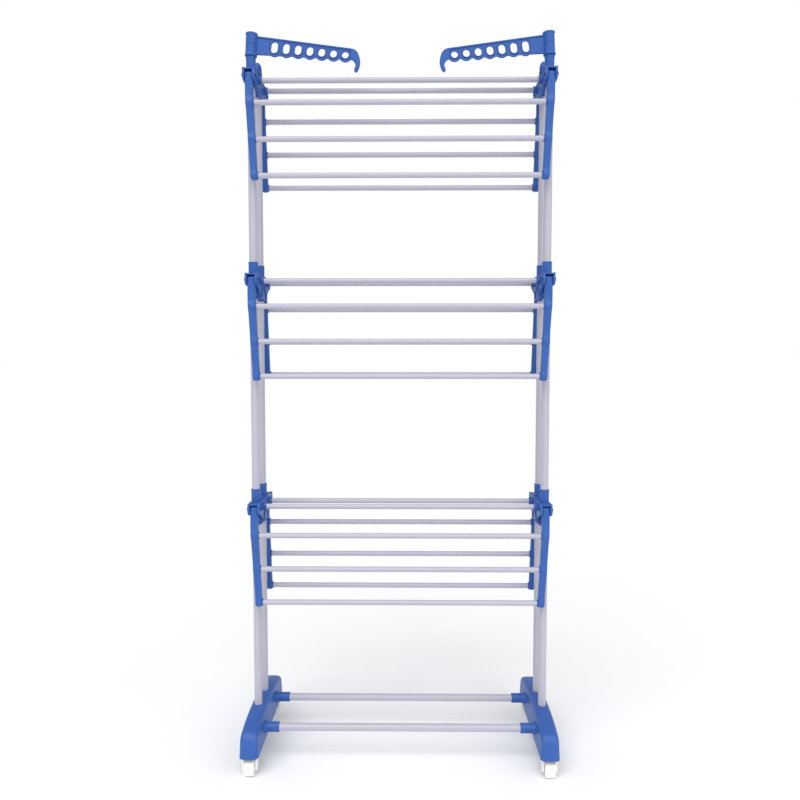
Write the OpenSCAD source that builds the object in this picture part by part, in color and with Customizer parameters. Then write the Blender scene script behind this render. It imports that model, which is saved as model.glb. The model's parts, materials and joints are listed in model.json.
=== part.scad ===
// Three-tier clothes drying rack on castors, with six fold-down wings and two swivelling hanger arms.
// Millimetres, +Z up. The origin is on the floor, at the centre of the footprint.
// +X is the right-hand side and -Y is the front.

/* [Frame] */
// Distance between the left and the right posts, centre to centre
post_span = 688; // [560:4:840]
// Distance between the front and the back posts, centre to centre
post_gap = 78; // [66:1:100]
// Height of the bottom tier above the floor
tier_1_h = 599; // [480:1:720]
// Step from the bottom tier up to the middle tier
tier_step_low = 536; // [440:1:650]
// Step from the middle tier up to the top tier
tier_step_high = 460; // [380:1:560]

/* [Tubes] */
// Outer diameter of the posts and of the base rods
post_d = 18.5; // [16:0.5:23]
// Wall of the posts and of the base rods
post_wall = 0.8; // [0.6:0.1:1.5]
// Outer diameter of the drying rods
rod_d = 12.7; // [10:0.1:15]
// Wall of the drying rods
rod_wall = 0.6; // [0.4:0.1:1]
// Distance of each fixed rod from the middle plane of the frame
fixed_rod_y = 36; // [30:1:40]

/* [Brackets] */
// Wall of the sockets that hold the posts
socket_wall = 1.9; // [1.6:0.1:3]
// Reach of the sockets above and below a joint of two post sections
socket_reach = 43; // [34:1:52]
// Thickness of the bracket's inner plate and of its outer cheeks
cheek_t = 5; // [4:0.5:7]
// Distance from a post's centre out to its hinge pin
hinge_reach = 33; // [31:1:42]
// Radius of the rounded cheeks round a hinge pin
cheek_r = 14.5; // [12:0.5:17]
// Thickness of the flange that roofs the hinge and stops the wing
flange_t = 3; // [2:0.5:4]
// Length of the collar round each fixed rod
collar_l = 9; // [6:1:14]
// Wall of the collars round the fixed rods and the base rods
collar_wall = 2.8; // [2:0.1:4]

/* [Wings] */
// Number of rods in each wing
wing_rods_n = 3; // [2:1:3]
// Distance between neighbouring rods of a wing
rod_pitch = 81; // [68:1:98]
// Distance from the hinge pin to the first rod of a wing
first_rod = 61.5; // [50:0.5:72]
// Distance by which the rods lie outside the line through the hinge pin
rod_offset = 5; // [2:0.5:7]
// Angle at which a hanging wing leans in towards the posts
wing_lean = 2.4; // [0:0.1:3]
// Thickness of a wing arm
arm_t = 16.9; // [14:0.1:20]
// Half the depth of a wing arm between its rods
arm_half = 7.5; // [6.5:0.5:9]
// Radius of the arm's boss round each rod
boss_r = 10.5; // [9:0.5:12]
// Distance by which an arm's free end is raked in
arm_rake = 9; // [0:0.5:12]
// Diameter of the hinge pins
pin_d = 5; // [4:0.5:6]

/* [Hanger arms] */
// Height of the collar that carries a hanger arm, above the top tier
hanger_h = 52; // [44:1:64]
// Angle at which the hanger's swivel axis leans in
hanger_lean = 3; // [0:0.5:4]
// Height of the hanger's sleeve
sleeve_h = 53; // [46:1:62]
// Outer diameter of the hanger's sleeve
sleeve_d = 26; // [25:0.5:30]
// Diameter of the pin that the sleeve turns on
swivel_d = 19.5; // [16:0.5:21]
// Number of hanger slots in an arm
slots_n = 7; // [4:1:8]
// Distance between neighbouring hanger slots
slot_pitch = 27.3; // [24:0.1:32]
// Distance from the swivel axis to the first slot
first_slot = 54; // [46:1:64]
// Width of a hanger slot
slot_w = 16; // [12:0.5:18]
// Height of the first slot; the last one is round
slot_h = 26; // [20:0.5:27]
// Thickness of the arm's web
web_t = 5; // [3:0.5:6]
// Thickness of the arm's rims and of its hook
rim_t = 9; // [7:0.5:11]

/* [Base] */
// Height of the base rods above the floor
base_rod_h = 77; // [72:1:84]
// Distance of each base rod from the middle plane of the frame
base_rod_y = 79; // [72:1:95]
// Length of a foot, front to back
foot_l = 344; // [300:2:410]
// Width of a foot
foot_w = 44; // [40:1:52]
// Height of a foot's underside above the floor
foot_z = 46; // [45:1:52]
// Height of a foot's top above the floor, at the posts
foot_top = 115; // [108:1:126]
// Drop of the foot's top from the posts to its ends
foot_drop = 13; // [6:1:18]
// Wall of the foot's shell
foot_wall = 3; // [2.5:0.5:4]
// Distance by which the feet lie inboard of the posts
foot_shift = 2; // [0:0.5:3]

/* [Castors] */
// Diameter of a castor wheel
wheel_d = 38; // [32:1:38]
// Width of a castor wheel
wheel_w = 24; // [18:1:26]
// Distance of each castor's stem from the foot's end
castor_inset = 27; // [24:1:40]
// Distance by which a wheel trails behind its stem
castor_trail = 9; // [5:1:11]
// Diameter of a castor's stem
stem_d = 8; // [7:0.5:10]

/* [Hidden] */
$fn = 48;
LEFT = -1;
RIGHT = 1;
FRONT = -1;
BACK = 1;
plastic_blue = "#4A72BE";
steel_grey = "#CFCFDB";
castor_white = "#F2F2F0";
pin_blue = "#33559E";

fit_gap = 0.05;        // radial play of a tube or a pin in its seat
turn_gap = 0.3;        // play between faces that slide past each other
eps = 0.01;

post_x = post_span / 2;
post_y = post_gap / 2;
tier_h = [tier_1_h, tier_1_h + tier_step_low, tier_1_h + tier_step_low + tier_step_high];
TOP = 2;

socket_r = post_d / 2 + socket_wall;
stop_t = 6;            // web between the two post sections inside a bracket
pivot_y = post_y + hinge_reach;
arm_slot = arm_t + 2 * turn_gap;
slot_in = 0.2 - socket_r;              // inner face of the clevis slot, seen from the post's axis
slot_out = slot_in + arm_slot;
plate_in = slot_in - cheek_t;
cheek_out = slot_out + cheek_t;
collar_end = plate_in - collar_l;
clevis_wall = hinge_reach - cheek_r + 0.5;   // back wall of the clevis, seen from the post's axis
flange_top = cheek_r;
plate_low = socket_reach - 2;          // depth of the inner plate under the middle of a bracket
plate_low_top = 27;                    // the same on a top bracket, which has no lower sockets
socket_low_top = 16;
pin_head_d = pin_d + 4;
pin_head_t = 3.5;

arm_end_u = first_rod + (wing_rods_n - 1) * rod_pitch;
arm_in = slot_in + turn_gap;
arm_out = arm_in + arm_t;
rake_start = 45;
arm_thinning = 1.8;    // loss of thickness from an arm's root to its free end
hinge_boss_r = 8.5;
rod_seat = 10;         // depth to which a rod is seated in an arm
arm_collar_l = 2.5;

sleeve_foot = 1.2;     // gap under the sleeve, so that it turns clear of the collar
sleeve_roof = 3.5;
swivel_l = sleeve_h - sleeve_roof - 0.3;
hanger_drop = 3.1;     // slope of the row of slots
slots_z = 23.7;        // height of the row of slots above the sleeve's foot, at the first slot
last_slot = first_slot + (slots_n - 1) * slot_pitch;
slot_fall = (slot_h - slot_w) / (slots_n - 1);
lobe_wall = 7.5;
slot_rim = 2.2;

foot_x = post_x - foot_shift;
foot_end_drop = 6;
foot_side_r = 9;
foot_end_r = 10;
post_sink = 42;        // depth to which a post is seated in a foot
base_seat_r = post_d / 2 + fit_gap;
base_collar_r = base_seat_r + collar_wall - 0.3;
base_collar_in = 58;   // distance from the posts' plane in to the end of a base rod's collar
base_seat = 40;        // depth to which a base rod is seated in its collar
castor_y = foot_l / 2 - castor_inset;
wheel_r = wheel_d / 2;
axle_d = 6;
fork_leg_t = 5;
fork_gap = 0.8;
fork_crown_low = wheel_d + 1.5;
fork_top = foot_z - 0.5;
stem_l = 28;
stem_boss_r = stem_d / 2 + 4;

// Share of an arm's rake, and its two faces seen from the post's axis, at distance u from the hinge
function rake_at(u) = u <= rake_start ? 0 : (u - rake_start) / (arm_end_u - rake_start);
function arm_in_at(u) = arm_in - (arm_rake - arm_thinning) * rake_at(u);
function arm_out_at(u) = arm_out - arm_rake * rake_at(u);

// Points of a curve that leaves a towards b and ends at c
function curve(a, b, c, n) =
    [for (i = [0:n]) let (t = i / n) (1 - t) * (1 - t) * a + 2 * t * (1 - t) * b + t * t * c];

// ---- helpers ----

// Builds a right-hand or back piece, and mirrors it for the left or the front
module to_side(side) {
    if (side == LEFT) mirror([1, 0, 0]) children();
    else children();
}

module to_row(row) {
    if (row == FRONT) mirror([0, 1, 0]) children();
    else children();
}

// Round bar along X from x1 to x2
module bar_x(r, x1, x2) {
    translate([x1, 0, 0]) rotate([0, 90, 0]) cylinder(r = r, h = x2 - x1);
}

module tube_z(d, wall, z1, z2) {
    translate([0, 0, z1]) difference() {
        cylinder(d = d, h = z2 - z1);
        translate([0, 0, -1]) cylinder(d = d - 2 * wall, h = z2 - z1 + 2);
    }
}

module tube_x(d, wall, half) {
    difference() {
        bar_x(d / 2, -half, half);
        bar_x(d / 2 - wall, -half - 1, half + 1);
    }
}

// Extrudes an outline drawn in Y and Z along X, from x1 to x2
module slab_x(x1, x2) {
    translate([x1, 0, 0]) rotate([90, 0, 90]) linear_extrude(x2 - x1) children();
}

// ---- posts, base rods and fixed rods ----

module post(level, row, side) {
    z1 = level == 0 ? foot_top - post_sink : tier_h[level - 1] + stop_t / 2;
    z2 = level == TOP ? tier_h[TOP] + flange_top : tier_h[level] - stop_t / 2;
    color(steel_grey) translate([side * post_x, row * post_y, 0]) tube_z(post_d, post_wall, z1, z2);
}

module base_rod(row) {
    color(steel_grey) translate([0, row * base_rod_y, base_rod_h])
        tube_x(post_d, post_wall, post_x - base_collar_in + base_seat);
}

module fixed_rods(level) {
    color(steel_grey) for (row = [FRONT, BACK])
        translate([0, row * fixed_rod_y, tier_h[level]])
            tube_x(rod_d, rod_wall, post_x + slot_in - 2);
}

// ---- brackets ----

// Inner plate of a bracket, from its middle to one hinge
module plate_outline(low) {
    lower_edge = curve([pivot_y + 9, -cheek_r + 3.5], [post_y + 16, -cheek_r], [post_y - 12, -low], 14);
    translate([pivot_y, 0]) circle(r = cheek_r);
    polygon(concat([[0, -low], [0, flange_top], [pivot_y + cheek_r - 2, flange_top],
        [pivot_y + cheek_r - 2, 0]], lower_edge));
}

// Outer cheek of one hinge
module cheek_outline() {
    translate([pivot_y, 0]) circle(r = cheek_r);
    translate([post_y + clevis_wall - 6, -cheek_r])
        square([pivot_y - post_y - clevis_wall + 6, 2 * cheek_r]);
    translate([pivot_y, 0]) square([cheek_r - 2, flange_top]);
}

// Half of a bracket: one post socket, one clevis and one rod collar
module bracket_half(up, down, low) {
    difference() {
        union() {
            slab_x(plate_in, slot_in) plate_outline(low);
            slab_x(slot_out, cheek_out) cheek_outline();
            translate([plate_in, 0, flange_top - flange_t])
                cube([cheek_out - plate_in, pivot_y + cheek_r - 2, flange_t]);
            translate([plate_in, post_y + socket_r - 2, -cheek_r])
                cube([cheek_out - plate_in, clevis_wall - socket_r + 2, 2 * cheek_r]);
            translate([plate_in, post_y - 4, -min(low, down)])
                cube([-plate_in, 8, flange_top + min(low, down)]);
            translate([0, post_y, -down]) cylinder(r = socket_r, h = up + down);
            translate([0, fixed_rod_y, 0]) bar_x(rod_d / 2 + collar_wall, collar_end, slot_in);
        }
        translate([0, fixed_rod_y, 0]) bar_x(rod_d / 2 + fit_gap, collar_end - 1, slot_in - 2 + fit_gap);
        translate([0, pivot_y, 0]) bar_x(pin_d / 2 + fit_gap, plate_in - 1, cheek_out + 1);
    }
}

module post_bores(up, down, through) {
    translate([0, post_y, through ? -down - 1 : stop_t / 2])
        cylinder(d = post_d + 2 * fit_gap, h = through ? up + down + 2 : up);
    if (!through)
        translate([0, post_y, -down - 1])
            cylinder(d = post_d + 2 * fit_gap, h = down + 1 - stop_t / 2);
}

module bracket(level, side) {
    is_top = level == TOP;
    up = is_top ? flange_top : socket_reach;
    down = is_top ? socket_low_top : socket_reach;
    low = is_top ? plate_low_top : plate_low;
    color(plastic_blue) to_side(side) translate([post_x, 0, tier_h[level]]) difference() {
        for (row = [FRONT, BACK]) to_row(row) bracket_half(up, down, low);
        for (row = [FRONT, BACK]) to_row(row) post_bores(up, down, is_top);
    }
}

// One pin with its head outside the bracket and its clip inside
module hinge_pin() {
    bar_x(pin_d / 2, plate_in - 2.5, cheek_out + 1);
    bar_x(pin_head_d / 2, cheek_out, cheek_out + pin_head_t);
    bar_x(pin_head_d / 2 - 0.5, plate_in - 2, plate_in);
}

module hinge_pins() {
    color(pin_blue) for (level = [0:TOP], row = [FRONT, BACK], side = [LEFT, RIGHT])
        to_side(side) translate([post_x, row * pivot_y, tier_h[level]]) hinge_pin();
}

// ---- wings ----

// Side view of a wing arm: v runs outwards and u runs down from the hinge
module arm_outline() {
    circle(r = hinge_boss_r);
    polygon([[-hinge_boss_r, 0], [hinge_boss_r, 0],
        [rod_offset + arm_half, -first_rod], [rod_offset + arm_half, -arm_end_u],
        [rod_offset - arm_half, -arm_end_u], [rod_offset - arm_half, -first_rod]]);
    for (i = [0:wing_rods_n - 1])
        translate([rod_offset, -first_rod - i * rod_pitch]) circle(r = boss_r);
}

// Front view of a wing arm, which bounds its rake
module arm_front_outline() {
    end_u = arm_end_u + boss_r + 1;
    polygon([[arm_in, hinge_boss_r + 1], [arm_out, hinge_boss_r + 1], [arm_out, -rake_start],
        [arm_out_at(end_u), -end_u], [arm_in_at(end_u), -end_u], [arm_in, -rake_start]]);
}

module wing_arm(level, row, side) {
    color(plastic_blue) to_side(side) to_row(row)
        translate([post_x, pivot_y, tier_h[level]]) rotate([-wing_lean, 0, 0]) difference() {
            union() {
                intersection() {
                    slab_x(arm_in - arm_rake - 1, arm_out + 1) arm_outline();
                    translate([0, 40, 0]) rotate([90, 0, 0]) linear_extrude(80) arm_front_outline();
                }
                for (i = [0:wing_rods_n - 1]) {
                    u = first_rod + i * rod_pitch;
                    translate([0, rod_offset, -u])
                        bar_x(rod_d / 2 + 1.8, arm_in_at(u) - arm_collar_l, arm_in_at(u) + 2);
                }
            }
            bar_x(pin_d / 2 + fit_gap, arm_in - 1, arm_out + 1);
            for (i = [0:wing_rods_n - 1]) {
                u = first_rod + i * rod_pitch;
                translate([0, rod_offset, -u])
                    bar_x(rod_d / 2 + fit_gap, arm_in_at(u) - arm_collar_l - 1, arm_in_at(u) + rod_seat);
            }
        }
}

module wing_rods(level, row) {
    color(steel_grey) to_row(row)
        translate([0, pivot_y, tier_h[level]]) rotate([-wing_lean, 0, 0])
            for (i = [0:wing_rods_n - 1]) {
                u = first_rod + i * rod_pitch;
                translate([0, rod_offset, -u])
                    tube_x(rod_d, rod_wall, post_x + arm_in_at(u) + rod_seat - fit_gap);
            }
}

// ---- hanger arms, their pivots and the caps of the back posts ----

module on_hanger_axis(side) {
    to_side(side) translate([post_x, -post_y, tier_h[TOP] + hanger_h])
        rotate([0, -hanger_lean, 0]) children();
}

module spigot() {
    translate([0, 0, -30]) cylinder(d = post_d - 2 * post_wall - 2 * fit_gap, h = 30 + eps);
}

module hanger_pivots() {
    color(plastic_blue) for (side = [LEFT, RIGHT]) {
        translate([side * post_x, -post_y, tier_h[TOP] + flange_top]) {
            spigot();
            cylinder(r = socket_r, h = hanger_h - flange_top);
        }
        on_hanger_axis(side) translate([0, 0, -2]) cylinder(d = swivel_d, h = swivel_l + 2);
    }
}

module post_caps() {
    cap_r = socket_r - 0.6;
    dome = curve([cap_r, 32], [cap_r, 52], [0, 54], 12);
    color(plastic_blue) for (side = [LEFT, RIGHT])
        translate([side * post_x, post_y, tier_h[TOP] + flange_top]) {
            spigot();
            rotate_extrude() polygon(concat([[0, 0], [cap_r, 0]], dome));
        }
}

// Height of the row of slots at distance r from the swivel axis
function slot_z(r) = slots_z - (r - first_slot) * tan(hanger_drop);
function slot_len(i) = slot_h - i * slot_fall;

// A slot's outline, grown by g all round
module slot_outline(i, g) {
    half = (slot_len(i) - slot_w) / 2;
    r = first_slot + i * slot_pitch;
    translate([r, slot_z(r)]) rotate(-hanger_drop) {
        for (end = [-1, 1]) translate([0, end * half]) circle(d = slot_w + 2 * g);
        if (half > 0) square([slot_w + 2 * g, 2 * half], center = true);
    }
}

// The lobe under a slot
module lobe_outline(i) {
    half = (slot_len(i) - slot_w) / 2;
    r = first_slot + i * slot_pitch;
    translate([r, slot_z(r)]) rotate(-hanger_drop)
        translate([0, -half]) circle(d = slot_w + 2 * lobe_wall);
}

arm_root_top = sleeve_h - 6;
arm_tip_r = last_slot + 16;
arm_tip_top = slot_z(last_slot) + slot_w / 2 + 6.5;
arm_tip_low = slot_z(last_slot) - slot_w / 2 - 1.5;
hook_r = last_slot + 35;

module arm_body_outline() {
    polygon([[0, 6], [0, arm_root_top], [arm_tip_r, arm_tip_top], [arm_tip_r, arm_tip_low],
        [first_slot - 24, slot_z(first_slot) - slot_h / 2 - 4]]);
}

module hook_outline() {
    outer = concat(
        curve([arm_tip_r, arm_tip_top], [hook_r - 4, arm_tip_top - 2], [hook_r, arm_tip_low - 3], 12),
        curve([hook_r, arm_tip_low - 3], [hook_r + 0.5, arm_tip_low - 15], [hook_r - 6, arm_tip_low - 26], 8));
    inner = curve([hook_r - 12.5, arm_tip_low - 22], [hook_r - 6, arm_tip_low - 8],
        [arm_tip_r - 2, arm_tip_low + 1], 10);
    polygon(concat([[arm_tip_r - 2, arm_tip_top]], outer, inner));
    translate([hook_r - 9, arm_tip_low - 23.5]) circle(r = 4);
}

module top_rim_outline() {
    polygon([[0, arm_root_top - 3.5], [0, arm_root_top], [arm_tip_r, arm_tip_top],
        [arm_tip_r, arm_tip_top - 3.5]]);
}

// Extrudes an outline drawn in X and Z to thickness t, centred on Y
module slab_y(t) {
    translate([0, t / 2, 0]) rotate([90, 0, 0]) linear_extrude(t) children();
}

module sleeve_outline() {
    r = sleeve_d / 2;
    lip = r + 1.3;
    polygon([[0, sleeve_foot], [lip, sleeve_foot], [lip, sleeve_foot + 4], [r, sleeve_foot + 5.3],
        [r, 27], [r - 0.6, 27.6], [r, 28.2], [r, sleeve_h - 4.5], [lip, sleeve_h - 3],
        [lip, sleeve_h - 0.8], [lip - 1, sleeve_h], [0, sleeve_h + 1]]);
}

// Modelled pointing along +X, and turned to point inwards
module hanger_arm(side) {
    color(plastic_blue) on_hanger_axis(side) difference() {
        union() {
            rotate_extrude() sleeve_outline();
            rotate([0, 0, 180]) difference() {
                union() {
                    slab_y(web_t) {
                        arm_body_outline();
                        for (i = [0:slots_n - 1]) lobe_outline(i);
                    }
                    slab_y(rim_t) {
                        top_rim_outline();
                        hook_outline();
                        for (i = [0:slots_n - 1]) slot_outline(i, slot_rim);
                    }
                }
                slab_y(rim_t + 2) for (i = [0:slots_n - 1]) slot_outline(i, 0);
            }
        }
        translate([0, 0, -1]) cylinder(d = swivel_d + 2 * fit_gap, h = sleeve_h - sleeve_roof + 1);
    }
}

// ---- feet ----

// Side view of a foot or, with a wall given, of the hollow inside it
module foot_side_outline(wall) {
    end_y = foot_l / 2 - wall;
    top = foot_top - wall;
    end_top = foot_top - foot_drop - wall;
    low = wall > 0 ? foot_z - 1 : foot_z;
    end_arc = curve([end_y - 26, end_top + 1.5], [end_y - 5, end_top - 1], [end_y - 1, foot_z + 22], 10);
    half = concat([[0, low], [0, top], [60, top - 0.5]],
        curve([60, top - 0.5], [110, top - 2.5], [end_y - 26, end_top + 1.5], 8),
        end_arc, [[end_y, foot_z + foot_end_drop], [end_y - 4, low]]);
    polygon(half);
    mirror([1, 0]) polygon(half);
}

// Cross-section of a foot, with rounded shoulders
module foot_end_outline(wall) {
    half = foot_w / 2 - wall;
    r = foot_side_r - wall / 2;
    top = foot_top - wall;
    low = foot_z - (wall > 0 ? 2 : 0);
    for (s = [-1, 1]) translate([s * (half - r - 2), top - r]) circle(r = r);
    polygon([[-half, low], [half, low], [half - 2, top - r], [-half + 2, top - r]]);
    translate([-(half - r - 2), top - r - 1]) square([2 * (half - r - 2), r + 1]);
}

// Plan view of a foot, with rounded ends
module foot_plan_outline(wall) {
    half = foot_w / 2 - wall;
    end_y = foot_l / 2 - wall;
    r = foot_end_r;
    square([2 * half, 2 * (end_y - r)], center = true);
    for (sy = [-1, 1]) {
        for (sx = [-1, 1]) translate([sx * (half - r), sy * (end_y - r)]) circle(r = r);
        translate([0, sy * (end_y - r)]) square([2 * (half - r), 2 * r], center = true);
    }
}

module foot_form(wall) {
    intersection() {
        slab_x(-foot_w, foot_w) foot_side_outline(wall);
        rotate([90, 0, 0]) translate([0, 0, -foot_l]) linear_extrude(2 * foot_l) foot_end_outline(wall);
        translate([0, 0, foot_z - 3]) linear_extrude(foot_top) foot_plan_outline(wall);
    }
}

module foot_inside() {
    post_in = foot_shift;
    intersection() {
        foot_form(0);
        union() {
            for (row = [FRONT, BACK]) {
                translate([post_in, row * post_y, foot_z]) cylinder(r = socket_r + 0.6, h = foot_top);
                translate([0, row * castor_y, foot_z]) cylinder(r = stem_boss_r, h = stem_l + 6);
                translate([-foot_w / 2, row * castor_y - 1.5, foot_z]) cube([foot_w, 3, foot_top]);
                translate([0, row * base_rod_y, base_rod_h]) bar_x(base_collar_r, -foot_w / 2, 4);
                translate([-foot_w / 2, row * base_rod_y - 1.5, foot_z])
                    cube([foot_w, 3, foot_top]);
            }
        }
    }
}

module foot(side) {
    collar_in = base_collar_in - foot_shift;
    color(plastic_blue) to_side(side) translate([foot_x, 0, 0]) difference() {
        union() {
            difference() {
                foot_form(0);
                foot_form(foot_wall);
            }
            foot_inside();
            for (row = [FRONT, BACK])
                translate([0, row * base_rod_y, base_rod_h]) bar_x(base_collar_r, -collar_in, -foot_w / 2 + 4);
        }
        for (row = [FRONT, BACK]) {
            translate([foot_shift, row * post_y, foot_top - post_sink])
                cylinder(d = post_d + 2 * fit_gap, h = post_sink + 1);
            translate([0, row * base_rod_y, base_rod_h])
                bar_x(base_seat_r, -collar_in - 1, -collar_in + base_seat + fit_gap);
            translate([0, row * castor_y, foot_z - 1])
                cylinder(d = stem_d + 2 * fit_gap, h = stem_l + 2);
        }
    }
}

// ---- castors: a fork that swivels in the foot, an axle and a wheel ----

module at_castor(row, side) {
    translate([side * foot_x, 0, 0]) to_row(row) translate([0, castor_y, 0]) children();
}

module fork_leg_outline() {
    translate([castor_trail, wheel_r]) circle(r = 7);
    polygon([[-9, fork_top - 4], [-9, fork_top - 1], [castor_trail + 4, fork_top - 1],
        [castor_trail + 7, wheel_r], [castor_trail - 6, wheel_r - 3]]);
}

module castor_fork(row, side) {
    leg_in = wheel_w / 2 + fork_gap;
    leg_out = leg_in + fork_leg_t;
    color(castor_white) at_castor(row, side) difference() {
        union() {
            cylinder_z(stem_d / 2, fork_top - 1, foot_z + stem_l);
            translate([0, 0, fork_crown_low]) cylinder(r = 13, h = fork_top - fork_crown_low);
            translate([-leg_out, -9, fork_crown_low])
                cube([2 * leg_out, castor_trail + 13, fork_top - fork_crown_low - 1]);
            for (s = [-1, 1]) slab_x(s < 0 ? -leg_out : leg_in, s < 0 ? -leg_in : leg_out) fork_leg_outline();
        }
        translate([0, castor_trail, wheel_r]) bar_x(axle_d / 2 + fit_gap, -leg_out - 1, leg_out + 1);
    }
}

module cylinder_z(r, z1, z2) {
    translate([0, 0, z1]) cylinder(r = r, h = z2 - z1);
}

module castor_axle(row, side) {
    half = wheel_w / 2 + fork_gap + fork_leg_t - 0.5;
    color("silver") at_castor(row, side) translate([0, castor_trail, wheel_r])
        bar_x(axle_d / 2, -half, half);
}

module castor_wheel(row, side) {
    half = wheel_w / 2;
    bore = axle_d / 2 + fit_gap;
    color(castor_white) at_castor(row, side) translate([0, castor_trail, wheel_r]) rotate([0, 90, 0])
        rotate_extrude() polygon([[bore, -half], [6, -half], [7, -half + 2.5], [wheel_r - 4, -half + 2.5],
            [wheel_r - 3, -half], [wheel_r - 2, -half], [wheel_r, -half + 3], [wheel_r, half - 3],
            [wheel_r - 2, half], [wheel_r - 3, half], [wheel_r - 4, half - 2.5], [7, half - 2.5],
            [6, half], [bore, half]]);
}

foot(LEFT);  // foot_left
foot(RIGHT);  // foot_right
base_rod(FRONT);  // base_rod_front
base_rod(BACK);  // base_rod_back
post(0, FRONT, LEFT);  // post_bottom_front_left
post(0, FRONT, RIGHT);  // post_bottom_front_right
post(0, BACK, LEFT);  // post_bottom_back_left
post(0, BACK, RIGHT);  // post_bottom_back_right
post(1, FRONT, LEFT);  // post_middle_front_left
post(1, FRONT, RIGHT);  // post_middle_front_right
post(1, BACK, LEFT);  // post_middle_back_left
post(1, BACK, RIGHT);  // post_middle_back_right
post(TOP, FRONT, LEFT);  // post_top_front_left
post(TOP, FRONT, RIGHT);  // post_top_front_right
post(TOP, BACK, LEFT);  // post_top_back_left
post(TOP, BACK, RIGHT);  // post_top_back_right
bracket(0, LEFT);  // bracket_bottom_left
bracket(0, RIGHT);  // bracket_bottom_right
bracket(1, LEFT);  // bracket_middle_left
bracket(1, RIGHT);  // bracket_middle_right
bracket(TOP, LEFT);  // bracket_top_left
bracket(TOP, RIGHT);  // bracket_top_right
fixed_rods(0);  // fixed_rods_bottom
fixed_rods(1);  // fixed_rods_middle
fixed_rods(TOP);  // fixed_rods_top
hinge_pins();
hanger_pivots();
post_caps();
hanger_arm(LEFT);  // hanger_arm_left
hanger_arm(RIGHT);  // hanger_arm_right
wing_arm(0, FRONT, LEFT);  // wing_arm_bottom_front_left
wing_arm(0, FRONT, RIGHT);  // wing_arm_bottom_front_right
wing_arm(0, BACK, LEFT);  // wing_arm_bottom_back_left
wing_arm(0, BACK, RIGHT);  // wing_arm_bottom_back_right
wing_arm(1, FRONT, LEFT);  // wing_arm_middle_front_left
wing_arm(1, FRONT, RIGHT);  // wing_arm_middle_front_right
wing_arm(1, BACK, LEFT);  // wing_arm_middle_back_left
wing_arm(1, BACK, RIGHT);  // wing_arm_middle_back_right
wing_arm(TOP, FRONT, LEFT);  // wing_arm_top_front_left
wing_arm(TOP, FRONT, RIGHT);  // wing_arm_top_front_right
wing_arm(TOP, BACK, LEFT);  // wing_arm_top_back_left
wing_arm(TOP, BACK, RIGHT);  // wing_arm_top_back_right
wing_rods(0, FRONT);  // wing_rods_bottom_front
wing_rods(0, BACK);  // wing_rods_bottom_back
wing_rods(1, FRONT);  // wing_rods_middle_front
wing_rods(1, BACK);  // wing_rods_middle_back
wing_rods(TOP, FRONT);  // wing_rods_top_front
wing_rods(TOP, BACK);  // wing_rods_top_back
castor_fork(FRONT, LEFT);  // castor_fork_front_left
castor_fork(FRONT, RIGHT);  // castor_fork_front_right
castor_fork(BACK, LEFT);  // castor_fork_back_left
castor_fork(BACK, RIGHT);  // castor_fork_back_right
castor_axle(FRONT, LEFT);  // castor_axle_front_left
castor_axle(FRONT, RIGHT);  // castor_axle_front_right
castor_axle(BACK, LEFT);  // castor_axle_back_left
castor_axle(BACK, RIGHT);  // castor_axle_back_right
castor_wheel(FRONT, LEFT);  // castor_wheel_front_left
castor_wheel(FRONT, RIGHT);  // castor_wheel_front_right
castor_wheel(BACK, LEFT);  // castor_wheel_back_left
castor_wheel(BACK, RIGHT);  // castor_wheel_back_right
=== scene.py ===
"""Clothes drying rack: blue mouldings, coated steel tubes and castors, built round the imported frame."""

import json
import math

import bmesh
import bpy
from bpy.props import FloatProperty, FloatVectorProperty, IntProperty, PointerProperty
from mathutils import Euler, Matrix, Vector


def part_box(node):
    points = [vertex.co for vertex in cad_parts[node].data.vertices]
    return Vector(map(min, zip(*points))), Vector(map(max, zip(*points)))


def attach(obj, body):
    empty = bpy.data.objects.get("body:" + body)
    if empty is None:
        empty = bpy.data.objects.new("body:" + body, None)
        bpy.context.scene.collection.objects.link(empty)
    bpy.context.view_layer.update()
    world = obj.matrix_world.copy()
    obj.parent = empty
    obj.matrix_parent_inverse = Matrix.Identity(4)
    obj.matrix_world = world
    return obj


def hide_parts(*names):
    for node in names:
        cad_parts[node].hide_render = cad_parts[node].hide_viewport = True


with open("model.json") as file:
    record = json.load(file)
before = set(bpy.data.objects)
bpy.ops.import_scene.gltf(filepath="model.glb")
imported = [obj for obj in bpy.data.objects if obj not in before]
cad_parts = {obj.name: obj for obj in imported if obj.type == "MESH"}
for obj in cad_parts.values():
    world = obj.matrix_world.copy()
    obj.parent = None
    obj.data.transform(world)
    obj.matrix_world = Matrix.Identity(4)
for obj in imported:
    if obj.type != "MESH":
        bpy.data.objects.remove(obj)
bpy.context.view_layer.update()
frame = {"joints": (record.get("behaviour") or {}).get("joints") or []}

bl_info = {
    "name": "Clothes drying rack",
    "version": (1, 0, 0),
    "blender": (4, 5, 0),
    "location": "3D View > Sidebar > Drying Rack",
    "description": "Builds the mouldings, tubes and castors of a three-tier clothes drying rack",
    "category": "Object",
}

MM = 0.001
LEVELS = ("bottom", "middle", "top")
ROWS = {"front": -1, "back": 1}
SIDES = {"left": -1, "right": 1}
JOINTS = {joint["name"]: joint for joint in frame["joints"]}

# Solids are drawn in millimetres. These turn a plate drawn in X and Y, thick along Z.
ALONG_X = Matrix(((0, 0, 1, 0), (1, 0, 0, 0), (0, 1, 0, 0), (0, 0, 0, 1)))   # drawn in Y and Z
ALONG_Y = Matrix(((1, 0, 0, 0), (0, 0, -1, 0), (0, 1, 0, 0), (0, 0, 0, 1)))  # drawn in X and Z
LATHE_SIDES = 48
ROUNDING_STEPS = 3
SHARP_ANGLE = math.radians(38)
FIT = 0.05                            # play between a bore and what sits in it
MERGE_GAP = 0.002                     # points of a joined solid that are closer than this are one


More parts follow.
